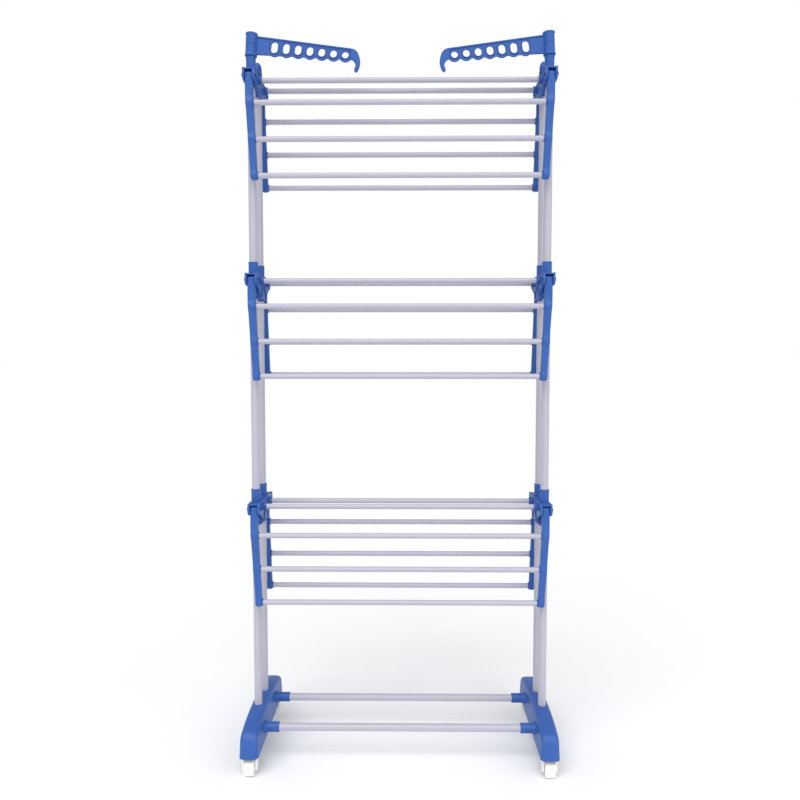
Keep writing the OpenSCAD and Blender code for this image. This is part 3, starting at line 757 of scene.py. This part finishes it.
def bracket_solid(level, sizes):
    """A right-hand bracket, drawn from the middle between its two posts at the tier's height."""
    is_top = level == "top"
    up = ROOF if is_top else SOCKET_REACH
    down, low = (TOP_SOCKET_REACH, TOP_PLATE_DEPTH) if is_top else (SOCKET_REACH, PLATE_DEPTH)
    post, pivot = POST_Y / MM, PIVOT_Y / MM
    rounding = sizes.moulding_round / MM
    outline = both_ways(plate_half(low))
    inner_line = inset(outline, 2.2)
    rim = plate(outline, PLATE_IN - 1.0, PLATE_IN + 2, 0.6, holes=[list(reversed(inner_line))],
                placing=ALONG_X)
    clevis_wall = box_outline(post + SOCKET_RADIUS - 2, -CHEEK_RADIUS,
                              post + HINGE_REACH - CHEEK_RADIUS + 0.5, ROOF - 0.6, 1)
    solids = [plate(outline, PLATE_IN, SLOT_IN, rounding, placing=ALONG_X), rim]
    cuts = []
    for way in (-1, 1):
        turn = mirrored(1, way)
        rod_place = at(0, way * FIXED_ROD_Y, 0, ALONG_X)
        solids += [
            plate(cheek_outline(), SLOT_OUT, CHEEK_OUT, rounding, placing=turn @ ALONG_X),
            plate(box_outline(-2, ROOF - ROOF_THICKNESS - 1, pivot + CHEEK_RADIUS - 3.2, ROOF - 1.0, 0.8),
                  PLATE_IN + 1, CHEEK_OUT - 1, 0.4, placing=turn @ ALONG_X),
            plate(clevis_wall, PLATE_IN + 1, CHEEK_OUT - 1, 0.4, placing=turn @ ALONG_X),
            plate(box_outline(post - 4, -min(low, down), post + 4, ROOF - 0.8, 1), PLATE_IN + 1, 0, 0.3,
                  placing=turn @ ALONG_X),
            lathe(socket(up, down), placing=at(0, way * post, 0)),
            rounded_bar(COLLAR_RADIUS, COLLAR_END, SLOT_IN - 1, 1.0, placing=rod_place),
        ]
        if not is_top:
            gusset = [Vector(p) for p in ((3, 2), (post - 8, -low + 4), (post - 11.5, -low + 4), (-1, -4))]
            gusset.reverse()
            solids.append(plate(gusset, PLATE_IN - 2.2, PLATE_IN + 1, 0.4, placing=turn @ ALONG_X))
        cuts += [
            drill(ROD_RADIUS + FIT, COLLAR_END - 1, SLOT_IN - 1.95, placing=rod_place),
            drill(PIN_RADIUS + FIT, PLATE_IN - 4, CHEEK_OUT + 1, 24, placing=at(0, way * pivot, 0, ALONG_X)),
        ]
        ends = [(-down - 1, up + 1)] if is_top else [(-down - 1, -STOP), (STOP, up + 1)]
        cuts += [drill(POST_RADIUS + FIT, start, end, placing=at(0, way * post, 0)) for start, end in ends]
    return joined(solids, cuts)


class RACK_OT_brackets(bpy.types.Operator):
    """Builds the six tier brackets with their sockets, collars, cheeks and ribs"""
    bl_idname = "drying_rack.brackets"
    bl_label = "Brackets"

    def execute(self, context):
        for level in LEVELS:
            solid = bracket_solid(level, context.scene.rack_sizes)
            for side, hand in SIDES.items():
                node = f"bracket_{level}_{side}"
                place = mirrored(hand) @ at(POST_X, 0, TIER[level])
                piece(f"{node}_moulding", solid, "blue_plastic", "frame", [node], place)
            solid.free()
        return {"FINISHED"}


# ---- hinge pins ----

PIN_HEAD, PIN_HEAD_THICKNESS = 4.5, 3.5


def pin_solid():
    """A push-in pin: shank, slotted domed head outside and a small collar inside."""
    head_end = CHEEK_OUT + PIN_HEAD_THICKNESS
    clip, shank, head = PIN_HEAD - 0.5, PIN_RADIUS, PIN_HEAD
    profile = [(0, PLATE_IN - 3.4), (shank - 0.6, PLATE_IN - 3.4), (shank, PLATE_IN - 2.8),
               (clip - 0.3, PLATE_IN - 2.6), (clip, PLATE_IN - 2.0), (clip, PLATE_IN - 1.1),
               (shank, PLATE_IN - 1.0), (shank, CHEEK_OUT), (head, CHEEK_OUT), (head, CHEEK_OUT + 1.2),
               (head - 0.4, CHEEK_OUT + 1.6), (head - 0.2, CHEEK_OUT + 2.2), (head - 0.9, head_end - 0.5),
               (head - 2.0, head_end), (0, head_end)]
    shape = lathe(profile, 32, placing=ALONG_X)
    slot = plate(box_outline(-8, -0.8, 8, 0.8, 0.3), CHEEK_OUT + 1.0, head_end + 2, 0, placing=ALONG_X)
    return joined([shape], [slot])


def pins_tree():
    """Geometry Nodes that set one pin at each point, turned to the side that the point is on."""
    tree = bpy.data.node_groups.new("Pins at hinges", "GeometryNodeTree")
    add_sockets(tree, "Pins", Hinges="Geometry", Pin="Object", Scale="Float", Finish="Material")
    given = add_node(tree, "NodeGroupInput", {}, {}).outputs
    pin = add_node(tree, "GeometryNodeObjectInfo", {}, {"Object": given["Pin"]})
    where = add_node(tree, "GeometryNodeInputPosition", {}, {})
    split = add_node(tree, "ShaderNodeSeparateXYZ", {}, {"Vector": where.outputs[0]})
    is_left = add_node(tree, "ShaderNodeMath", {"operation": "LESS_THAN"}, {0: split.outputs["X"], 1: 0.0})
    half_turn = add_node(tree, "ShaderNodeMath", {"operation": "MULTIPLY"}, {
        0: is_left.outputs[0], 1: math.pi})
    turn = add_node(tree, "ShaderNodeCombineXYZ", {}, {"Z": half_turn.outputs[0]})
    spin = add_node(tree, "FunctionNodeEulerToRotation", {}, {0: turn.outputs[0]})
    scale = add_node(tree, "ShaderNodeCombineXYZ", {}, {axis: given["Scale"] for axis in "XYZ"})
    placed = add_node(tree, "GeometryNodeInstanceOnPoints", {}, {
        "Points": given["Hinges"], "Instance": pin.outputs["Geometry"], "Rotation": spin.outputs[0],
        "Scale": scale.outputs[0]})
    real = add_node(tree, "GeometryNodeRealizeInstances", {}, {"Geometry": placed.outputs["Instances"]})
    finished = add_node(tree, "GeometryNodeSetMaterial", {}, {
        "Geometry": real.outputs["Geometry"], "Material": given["Finish"]})
    add_node(tree, "NodeGroupOutput", {}, {"Pins": finished.outputs["Geometry"]})
    return tree


class RACK_OT_hinge_pins(bpy.types.Operator):
    """Sets a slotted push-in pin at each of the twelve hinges"""
    bl_idname = "drying_rack.hinge_pins"
    bl_label = "Hinge pins"

    def execute(self, context):
        solid = pin_solid()
        template_mesh = bpy.data.meshes.new("pin")
        solid.to_mesh(template_mesh)
        solid.free()
        template = bpy.data.objects.new("pin", template_mesh)
        context.scene.collection.objects.link(template)
        hinges = bpy.data.meshes.new("hinges")
        hinges.from_pydata([(hand * POST_X, way * PIVOT_Y, TIER[level])
                            for level in LEVELS for way in ROWS.values() for hand in SIDES.values()], [], [])
        mesh = grown("hinge_pins_moulding", pins_tree(), {
            "Pin": template, "Scale": MM, "Finish": material_for("pin_plastic")}, hinges)
        bpy.data.objects.remove(template)
        obj = bpy.data.objects.new("hinge_pins_moulding", mesh)
        context.scene.collection.objects.link(obj)
        dress(obj, "pin_plastic", "frame", ["hinge_pins"])
        return {"FINISHED"}


# ---- tops of the posts ----

COLLAR_HEIGHT = 52.0      # of the pivot's collar above the tier
SWIVEL_RADIUS, SWIVEL_LENGTH = 9.75, 49.2
CAP_RADIUS = 10.55


def swivel_frame(hand):
    """Place and lean of a hanger arm's axis."""
    return mirrored(hand) @ Matrix.Translation(SWIVEL) @ Matrix.Rotation(SWIVEL_LEAN, 4, "Y")


class RACK_OT_post_tops(bpy.types.Operator):
    """Builds the hanger pivots on the front posts and the ridged caps on the back posts"""
    bl_idname = "drying_rack.post_tops"
    bl_label = "Post tops"

    def execute(self, context):
        r, lip = SOCKET_RADIUS, SOCKET_RADIUS + 0.6
        base, top = ROOF, COLLAR_HEIGHT
        profile = [(0, base - 2), (r, base - 2), (r, top - 5), (lip, top - 4.2), (lip, top - 0.8),
                   (lip - 0.8, top), (0, top)]
        plug = POST_RADIUS - 0.85
        for side, hand in SIDES.items():
            collar = lathe(profile)
            spigot = rounded_bar(plug, base - 30, base, 0.6)
            lean = at(0, 0, top) @ Matrix.Rotation(SWIVEL_LEAN, 4, "Y")
            pin = rounded_bar(SWIVEL_RADIUS, -2, SWIVEL_LENGTH, 0.8, placing=lean)
            solid = joined([collar, spigot, pin])
            place = mirrored(hand) @ at(POST_X, -POST_Y, TIER["top"])
            extra = ["hanger_pivots"] if hand > 0 else []
            piece(f"hanger_pivot_{side}_moulding", solid, "blue_plastic", "frame", extra, place)
            solid.free()
        ridges = context.scene.rack_sizes.cap_ridges
        dome = curve((CAP_RADIUS - 0.5, 34), (CAP_RADIUS - 0.5, 52), (0.0, 54), 12)
        wall = [(0, 0), (CAP_RADIUS, 0)]
        for i in range(ridges):
            z = 6 + i * 6.5
            wall += [(CAP_RADIUS - 0.5, z), (CAP_RADIUS + 0.5, z + 0.7), (CAP_RADIUS + 0.5, z + 2.0),
                     (CAP_RADIUS - 0.5, z + 2.7)]
        wall += [(p.x if p.x > 1e-6 else 0, p.y) for p in dome]
        solid = joined([lathe(wall), rounded_bar(plug, -30, 1, 0.6)])
        for side, hand in SIDES.items():
            place = mirrored(hand) @ at(POST_X, POST_Y, TIER["top"] + ROOF * MM)
            extra = ["post_caps"] if hand > 0 else []
            piece(f"post_cap_{side}_moulding", solid, "blue_plastic", "frame", extra, place)
        solid.free()
        return {"FINISHED"}


# ---- hanger arms ----

SLOT_COUNT, SLOT_PITCH, SLOT_FIRST = 7, 27.3, 54.0
SLOT_WIDTH, SLOT_HEIGHT, SLOT_DROP = 16.0, 26.0, 3.1
SLOTS_HEIGHT = 23.7
LOBE_RADIUS = 15.5
SLEEVE_HEIGHT, SLEEVE_RADIUS, SLEEVE_FOOT, SLEEVE_ROOF = 53.0, 13.0, 1.2, 3.5
WEB, RIM = 5.0, 9.0
SLOT_LAST = SLOT_FIRST + (SLOT_COUNT - 1) * SLOT_PITCH
TIP = SLOT_LAST + 16


def slot_height(reach):
    return SLOTS_HEIGHT - (reach - SLOT_FIRST) * math.tan(math.radians(SLOT_DROP))


def slot_place(i):
    """Centre and height of a slot."""
    reach = SLOT_FIRST + i * SLOT_PITCH
    height = SLOT_HEIGHT - i * (SLOT_HEIGHT - SLOT_WIDTH) / (SLOT_COUNT - 1)
    return Vector((reach, slot_height(reach))), height


TIP_TOP = slot_height(SLOT_LAST) + SLOT_WIDTH / 2 + 6.5
TIP_LOW = slot_height(SLOT_LAST) - SLOT_WIDTH / 2 - 1.5
ROOT_TOP = SLEEVE_HEIGHT - 6


def scalloped_edge(start, end, step=0.9):
    """The arm's lower edge, with a lobe under each slot."""
    points = []
    count = int((end - start) / step)
    for k in range(count + 1):
        x = start + (end - start) * k / count
        low = 6.2 + (TIP_LOW - 6.2) * (x - start) / (end - start)
        for i in range(SLOT_COUNT):
            middle, height = slot_place(i)
            off = abs(x - middle.x)
            if off < LOBE_RADIUS - 0.5:
                low = min(low, middle.y - (height - SLOT_WIDTH) / 2 - math.sqrt(LOBE_RADIUS ** 2 - off ** 2))
        points.append(Vector((x, low)))
    return points


def hook_outline():
    hook = SLOT_LAST + 35
    outer = curve((TIP, TIP_TOP), (hook - 4, TIP_TOP - 2), (hook, TIP_LOW - 3), 12)
    outer += curve((hook, TIP_LOW - 3), (hook + 0.5, TIP_LOW - 15), (hook - 5.2, TIP_LOW - 25), 8)[1:]
    tip = arc((hook - 9, TIP_LOW - 23.5), 4, -22, -180, 8)
    inner = curve((hook - 12.5, TIP_LOW - 20), (hook - 6, TIP_LOW - 8), (TIP - 2, TIP_LOW + 1), 10)
    return list(reversed([Vector((TIP - 4, TIP_TOP)), *outer, *tip, *inner, Vector((TIP - 4, TIP_LOW + 2))]))


def sleeve_profile():
    r, lip, bore = SLEEVE_RADIUS, SLEEVE_RADIUS + 1.3, SWIVEL_RADIUS + FIT
    roof = SLEEVE_HEIGHT - SLEEVE_ROOF
    foot = SLEEVE_FOOT
    return [(0, roof), (bore, roof), (bore, foot), (lip - 0.6, foot), (lip, foot + 0.6), (lip, foot + 3.6),
            (r + 0.4, foot + 4.8), (r, foot + 5.4), (r, 26.6), (r - 0.7, 27.1), (r - 0.7, 28.1), (r, 28.6),
            (r, SLEEVE_HEIGHT - 4.6), (lip - 0.3, SLEEVE_HEIGHT - 3.2), (lip, SLEEVE_HEIGHT - 2.6),
            (lip, SLEEVE_HEIGHT - 1.2), (lip - 0.8, SLEEVE_HEIGHT - 0.2), (lip - 2, SLEEVE_HEIGHT + 0.1),
            (0, SLEEVE_HEIGHT + 0.9)]


def hanger_solid(sizes):
    """A hanger arm that points along X from its swivel axis."""
    rim = sizes.slot_rim / MM
    root = SWIVEL_RADIUS + 1.2
    edge = scalloped_edge(root, TIP)
    web = [*edge, Vector((TIP, TIP_TOP)), Vector((root, ROOT_TOP - 0.8))]
    openings = [plate(stadium(slot_place(i)[0], SLOT_WIDTH + rim, slot_place(i)[1] + rim, -SLOT_DROP),
                      -RIM, RIM, 0, placing=ALONG_Y) for i in range(SLOT_COUNT)]
    solids = [lathe(sleeve_profile()),
              joined([plate(web, -WEB / 2, WEB / 2, 0.7, placing=ALONG_Y)], openings),
              plate(hook_outline(), -RIM / 2, RIM / 2, 1.4, placing=ALONG_Y)]
    for i in range(SLOT_COUNT):
        middle, height = slot_place(i)
        outer = stadium(middle, SLOT_WIDTH + 2 * rim, height + 2 * rim, -SLOT_DROP)
        inner = list(reversed(stadium(middle, SLOT_WIDTH, height, -SLOT_DROP)))
        solids.append(plate(outer, -RIM / 2, RIM / 2, 0.9, holes=[inner], placing=ALONG_Y))
    top = [Vector((root, ROOT_TOP - 3.6)), Vector((TIP, TIP_TOP - 3.5)), Vector((TIP, TIP_TOP)),
           Vector((root, ROOT_TOP))]
    solids.append(plate(top, -RIM / 2, RIM / 2, 0.9, placing=ALONG_Y))
    border = [*edge, *[Vector((p.x, p.y + 2.0)) for p in reversed(edge)]]
    solids.append(plate(border, -RIM / 2 + 0.8, RIM / 2 - 0.8, 0.5, placing=ALONG_Y))
    return joined(solids)


class RACK_OT_hanger_arms(bpy.types.Operator):
    """Builds the two slotted hanger arms with their sleeves and hooks"""
    bl_idname = "drying_rack.hanger_arms"
    bl_label = "Hanger arms"

    def execute(self, context):
        solid = hanger_solid(context.scene.rack_sizes)
        for side, hand in SIDES.items():
            node = f"hanger_arm_{side}"
            place = swivel_frame(hand) @ Matrix.Rotation(math.pi, 4, "Z")
            piece(f"{node}_moulding", solid, "blue_plastic", f"hanger_{side}", [node], place)
        solid.free()
        return {"FINISHED"}


# ---- feet ----

FOOT_WALL = 3.0
FOOT_SIDE_RADIUS, FOOT_END_RADIUS = 9.0, 10.0
FOOT_SHIFT = 2.0
FOOT_DROP, FOOT_END_DROP = 13.0, 6.0
POST_SINK = 42.0
BASE_SEAT_RADIUS, BASE_COLLAR_RADIUS, BASE_SEAT = 9.3, 11.8, 40.0
BASE_ROD_Y, BASE_ROD_HEIGHT = 79.0, 77.0
BASE_COLLAR_IN = 56.0
STEM_RADIUS, STEM_LENGTH, STEM_BOSS = 4.0, 28.0, 8.0


def foot_profile(wall, foot):
    """Top of the foot at points along half its length, from the middle to the end, as (along, height)."""
    end = foot["half"] - wall
    top = foot["top"] - wall
    end_top = top - FOOT_DROP
    line = [Vector((0.0, top)), Vector((30.0, top)), Vector((60.0, top - 0.5))]
    line += curve((60, top - 0.5), (110, top - 2.5), (end - 26, end_top + 1.5), 8)[1:]
    line += curve((end - 26, end_top + 1.5), (end - 5, end_top - 1), (end - 1, foot["low"] + 22), 12)[1:]
    line += [Vector((end - 0.3, foot["low"] + 12)), Vector((end, foot["low"] + FOOT_END_DROP))]
    return line


def foot_ring(along, height, wall, foot):
    """Cross-section of the foot at a distance along it."""
    half = foot["width"] / 2 - wall
    past = abs(along) - (foot["half"] - wall - FOOT_END_RADIUS)
    if past > 0:
        half += math.sqrt(max(0, FOOT_END_RADIUS ** 2 - past ** 2)) - FOOT_END_RADIUS
    low = foot["low"] - (2 if wall > 0 else 0)
    radius = max(0.6, min(FOOT_SIDE_RADIUS - wall / 2, (height - low) * 0.45))
    crown = 0.5 if wall == 0 else 0
    ring = [Vector((half - 0.5, low)), Vector((half, low + 0.5))]
    ring += arc((half - 2 - radius, height - crown - radius), radius, 8, 90, 9)
    ring += [Vector((x * (half - 2 - radius), height)) for x in (0.6, 0.2, -0.2, -0.6)]
    ring += arc((-half + 2 + radius, height - crown - radius), radius, 90, 172, 9)
    ring += [Vector((-half, low + 0.5)), Vector((-half + 0.5, low))]
    return [Vector((p.x, along, p.y)) for p in ring]


def foot_body(wall, foot):
    line = foot_profile(wall, foot)
    ends = [(-p.x, p.y) for p in reversed(line[1:])] + [(p.x, p.y) for p in line]
    return loft([foot_ring(along, height, wall, foot) for along, height in ends])


def foot_solid(foot):
    """A right-hand foot, drawn about the middle of its length, hollow underneath."""
    shell = joined([foot_body(0, foot)], [foot_body(FOOT_WALL, foot)])
    post, low = POST_Y / MM, foot["low"]
    inner = foot["width"] / 2
    stem = STEM.y / MM
    solids, cuts = [shell], []
    for way in (-1, 1):
        collar = [(0, -BASE_COLLAR_IN), (BASE_COLLAR_RADIUS - 0.8, -BASE_COLLAR_IN),
                  (BASE_COLLAR_RADIUS, -BASE_COLLAR_IN + 0.8), (BASE_COLLAR_RADIUS, -inner - 9),
                  (BASE_COLLAR_RADIUS + 0.8, -inner - 5), (BASE_COLLAR_RADIUS + 3.2, -inner + 1),
                  (BASE_COLLAR_RADIUS + 3.2, -inner + 4), (BASE_COLLAR_RADIUS, -inner + 6),
                  (BASE_COLLAR_RADIUS, 4), (0, 4)]
        place = at(0, way * BASE_ROD_Y, BASE_ROD_HEIGHT, ALONG_X)
        post_place = at(FOOT_SHIFT, way * post, 0)
        stem_place = at(0, way * stem, 0)
        solids += [
            lathe(collar, placing=place),
            drill(SOCKET_RADIUS + 0.6, low + 0.5, foot["top"] - 1.5, placing=post_place),
            drill(STEM_BOSS, low + 0.5, low + STEM_LENGTH + 6, placing=stem_place),
        ]
        for rib in (stem, BASE_ROD_Y):
            solids.append(plate(box_outline(-inner + 2.5, low + 0.6, inner - 2.5, BASE_ROD_HEIGHT + 2, 0.5),
                                way * rib - 1.5, way * rib + 1.5, 0.3, placing=mirrored(1, -1) @ ALONG_Y
                                if way < 0 else ALONG_Y @ Matrix.Diagonal((1, 1, -1, 1))))
        cuts += [
            drill(POST_RADIUS + FIT, foot["top"] - POST_SINK, foot["top"] + 1, placing=post_place),
            drill(BASE_SEAT_RADIUS, -BASE_COLLAR_IN - 1, -BASE_COLLAR_IN + BASE_SEAT, placing=place),
            drill(STEM_RADIUS + FIT, low - 1, low + STEM_LENGTH + 1, placing=stem_place),
        ]
    return joined(solids, cuts)


class RACK_OT_feet(bpy.types.Operator):
    """Builds the two feet as hollow rounded shells with collars and sockets"""
    bl_idname = "drying_rack.feet"
    bl_label = "Feet"

    def execute(self, context):
        width = 2 * (FOOT_HIGH.x - STEM.x) / MM
        foot = {"half": FOOT_HIGH.y / MM, "top": FOOT_HIGH.z / MM, "low": FOOT_LOW.z / MM, "width": width}
        solid = foot_solid(foot)
        for side, hand in SIDES.items():
            node = f"foot_{side}"
            place = mirrored(hand) @ at(STEM.x, 0, 0)
            piece(f"{node}_moulding", solid, "blue_plastic", "frame", [node], place)
        solid.free()
        return {"FINISHED"}


# ---- castors ----

WHEEL_RADIUS, WHEEL_HALF = 19.0, 12.0
AXLE_RADIUS = 3.0
FORK_GAP, FORK_LEG, FORK_CROWN, FORK_TOP = 0.8, 5.0, 39.5, 45.5
FORK_BOSS, FORK_FRONT, FORK_BACK, CROWN_RADIUS = 7.0, 9.0, 4.0, 13.0


def wheel_solid():
    """A wheel with a rounded tread, dished sides and a hub, turned round Z."""
    half, r = WHEEL_HALF, WHEEL_RADIUS
    side = [(AXLE_RADIUS + FIT, half), (5.6, half), (6, half - 0.4), (7.2, half - 3), (r - 5.2, half - 3.2),
            (r - 4.2, half - 2.4), (r - 3.4, half - 0.6), (r - 2.6, half), (r - 1.6, half - 0.3),
            (r - 0.6, half - 1.4), (r - 0.15, half - 2.8), (r, half - 4.5)]
    profile = [(radius, -height) for radius, height in side]
    profile += [(radius, height) for radius, height in reversed(side)]
    return lathe(profile, placing=ALONG_X)


def fork_solid(trail):
    """A twin-legged castor fork with its stem at the origin and its axle trailing along Y."""
    leg_in = WHEEL_HALF + FORK_GAP
    leg_out = leg_in + FORK_LEG
    shoulder = FORK_TOP - 1
    boss = arc((trail, WHEEL_RADIUS), FORK_BOSS, -150, 8, 12)
    leg = [*boss, Vector((trail + FORK_BACK, shoulder)), Vector((-FORK_FRONT, shoulder)),
           Vector((-FORK_FRONT, shoulder - 3))]
    crown = box_outline(-FORK_FRONT, FORK_CROWN, trail + FORK_BACK, shoulder, 1.2)
    solids = [plate(leg, leg_in, leg_out, 1.0, placing=ALONG_X),
              plate(leg, -leg_out, -leg_in, 1.0, placing=ALONG_X),
              plate(crown, -leg_out + 0.3, leg_out - 0.3, 0.5, placing=ALONG_X),
              rounded_bar(CROWN_RADIUS, FORK_CROWN, FORK_TOP),
              rounded_bar(STEM_RADIUS, FORK_TOP - 2, FOOT_LOW.z / MM + STEM_LENGTH, sides=32)]
    axle_place = at(0, trail, WHEEL_RADIUS, ALONG_X)
    hole = drill(AXLE_RADIUS + FIT, -leg_out - 1, leg_out + 1, 32, placing=axle_place)
    return joined(solids, [hole])


class RACK_OT_castors(bpy.types.Operator):
    """Builds the four castors: fork, axle and wheel"""
    bl_idname = "drying_rack.castors"
    bl_label = "Castors"

    def execute(self, context):
        trail = (AXLE.y - STEM.y) / MM
        fork, wheel = fork_solid(trail), wheel_solid()
        reach = WHEEL_HALF + FORK_GAP + FORK_LEG - 0.5
        axle = rounded_bar(AXLE_RADIUS, -reach, reach, 0.6, 32, placing=ALONG_X)
        for row, way in ROWS.items():
            for side, hand in SIDES.items():
                tag = f"{row}_{side}"
                stem = mirrored(hand, way) @ at(STEM.x, STEM.y, 0)
                hub = mirrored(hand, way) @ at(AXLE.x, AXLE.y, AXLE.z)
                piece(f"castor_fork_{tag}_moulding", fork, "white_plastic", f"castor_{tag}",
                      [f"castor_fork_{tag}"], stem)
                piece(f"castor_axle_{tag}_pin", axle, "plain_steel", f"castor_{tag}",
                      [f"castor_axle_{tag}"], hub)
                piece(f"castor_wheel_{tag}_moulding", wheel, "white_plastic", f"wheel_{tag}",
                      [f"castor_wheel_{tag}"], hub)
        for solid in (fork, wheel, axle):
            solid.free()
        return {"FINISHED"}


# ---- stage ----

class RACK_OT_stage(bpy.types.Operator):
    """Sets the pale floor, the soft studio light and the camera"""
    bl_idname = "drying_rack.stage"
    bl_label = "Floor, light and camera"

    def execute(self, context):
        scene = context.scene
        mesh = bpy.data.meshes.new("studio_floor")
        reach = 60.0
        mesh.from_pydata([(-reach, -reach, 0), (reach, -reach, 0), (reach, reach, 0), (-reach, reach, 0)], [],
                         [(0, 1, 2, 3)])
        mesh.materials.append(matt_paper("Seamless paper, matt, pale", scene.rack_colours.floor))
        floor = bpy.data.objects.new("studio_floor", mesh)
        scene.collection.objects.link(floor)

        world = bpy.data.worlds.new("soft_studio")
        world.use_nodes = True
        scene.world = world
        tree = world.node_tree
        tree.nodes.clear()
        seen = add_node(tree, "ShaderNodeBackground", {}, {"Color": (1, 1, 1, 1), "Strength": 1.0})
        fill = add_node(tree, "ShaderNodeBackground", {}, {"Color": (0.96, 0.97, 1.0, 1), "Strength": 0.55})
        path = add_node(tree, "ShaderNodeLightPath", {}, {})
        both = add_node(tree, "ShaderNodeMixShader", {}, {
            0: path.outputs["Is Camera Ray"], 1: fill.outputs[0], 2: seen.outputs[0]})
        add_node(tree, "ShaderNodeOutputWorld", {}, {0: both.outputs[0]})

        for name, strength, soft_deg, turn_deg in (("overhead_sun", 1.65, 50, (38, 0, -18)),
                                                   ("side_sun", 0.7, 60, (62, 0, 40))):
            light = bpy.data.lights.new(name, "SUN")
            light.energy = strength
            light.angle = math.radians(soft_deg)
            lamp = bpy.data.objects.new(name, light)
            lamp.rotation_euler = Euler([math.radians(a) for a in turn_deg])
            scene.collection.objects.link(lamp)

        lens = bpy.data.cameras.new("camera")
        lens.lens, lens.sensor_width = 34.26, 36.0
        camera = bpy.data.objects.new("camera", lens)
        camera.location = (0.021, -1.838, 0.967)
        camera.rotation_euler = Euler((math.radians(90 - 3.576), 0, math.radians(0.66)))
        scene.collection.objects.link(camera)
        scene.camera = camera
        scene.view_settings.view_transform = "Standard"
        return {"FINISHED"}


OPERATORS = (RACK_OT_posts, RACK_OT_rods, RACK_OT_brackets, RACK_OT_hinge_pins, RACK_OT_wing_arms,
             RACK_OT_post_tops, RACK_OT_hanger_arms, RACK_OT_feet, RACK_OT_castors, RACK_OT_stage)


class RACK_PT_panel(bpy.types.Panel):
    """Lists the rack's sizes, colours and pieces"""
    bl_idname = "RACK_PT_panel"
    bl_label = "Drying rack"
    bl_space_type = "VIEW_3D"
    bl_region_type = "UI"
    bl_category = "Drying Rack"

    def draw(self, context):
        layout = self.layout
        for title, group in (("Sizes", context.scene.rack_sizes), ("Colours", context.scene.rack_colours)):
            box = layout.box()
            box.label(text=title)
            for name in group.__annotations__:
                box.prop(group, name)
        for operator in OPERATORS:
            layout.operator(operator.bl_idname)


CLASSES = (RackSizes, RackColours, *OPERATORS, RACK_PT_panel)


def register():
    for cls in CLASSES:
        bpy.utils.register_class(cls)
    bpy.types.Scene.rack_sizes = PointerProperty(type=RackSizes)
    bpy.types.Scene.rack_colours = PointerProperty(type=RackColours)


def unregister():
    del bpy.types.Scene.rack_colours
    del bpy.types.Scene.rack_sizes
    for cls in reversed(CLASSES):
        bpy.utils.unregister_class(cls)


def main():
    register()
    bpy.ops.drying_rack.posts()
    bpy.ops.drying_rack.rods()
    bpy.ops.drying_rack.brackets()
    bpy.ops.drying_rack.hinge_pins()
    bpy.ops.drying_rack.wing_arms()
    bpy.ops.drying_rack.post_tops()
    bpy.ops.drying_rack.hanger_arms()
    bpy.ops.drying_rack.feet()
    bpy.ops.drying_rack.castors()
    bpy.ops.drying_rack.stage()


if __name__ == "__main__":
    main()
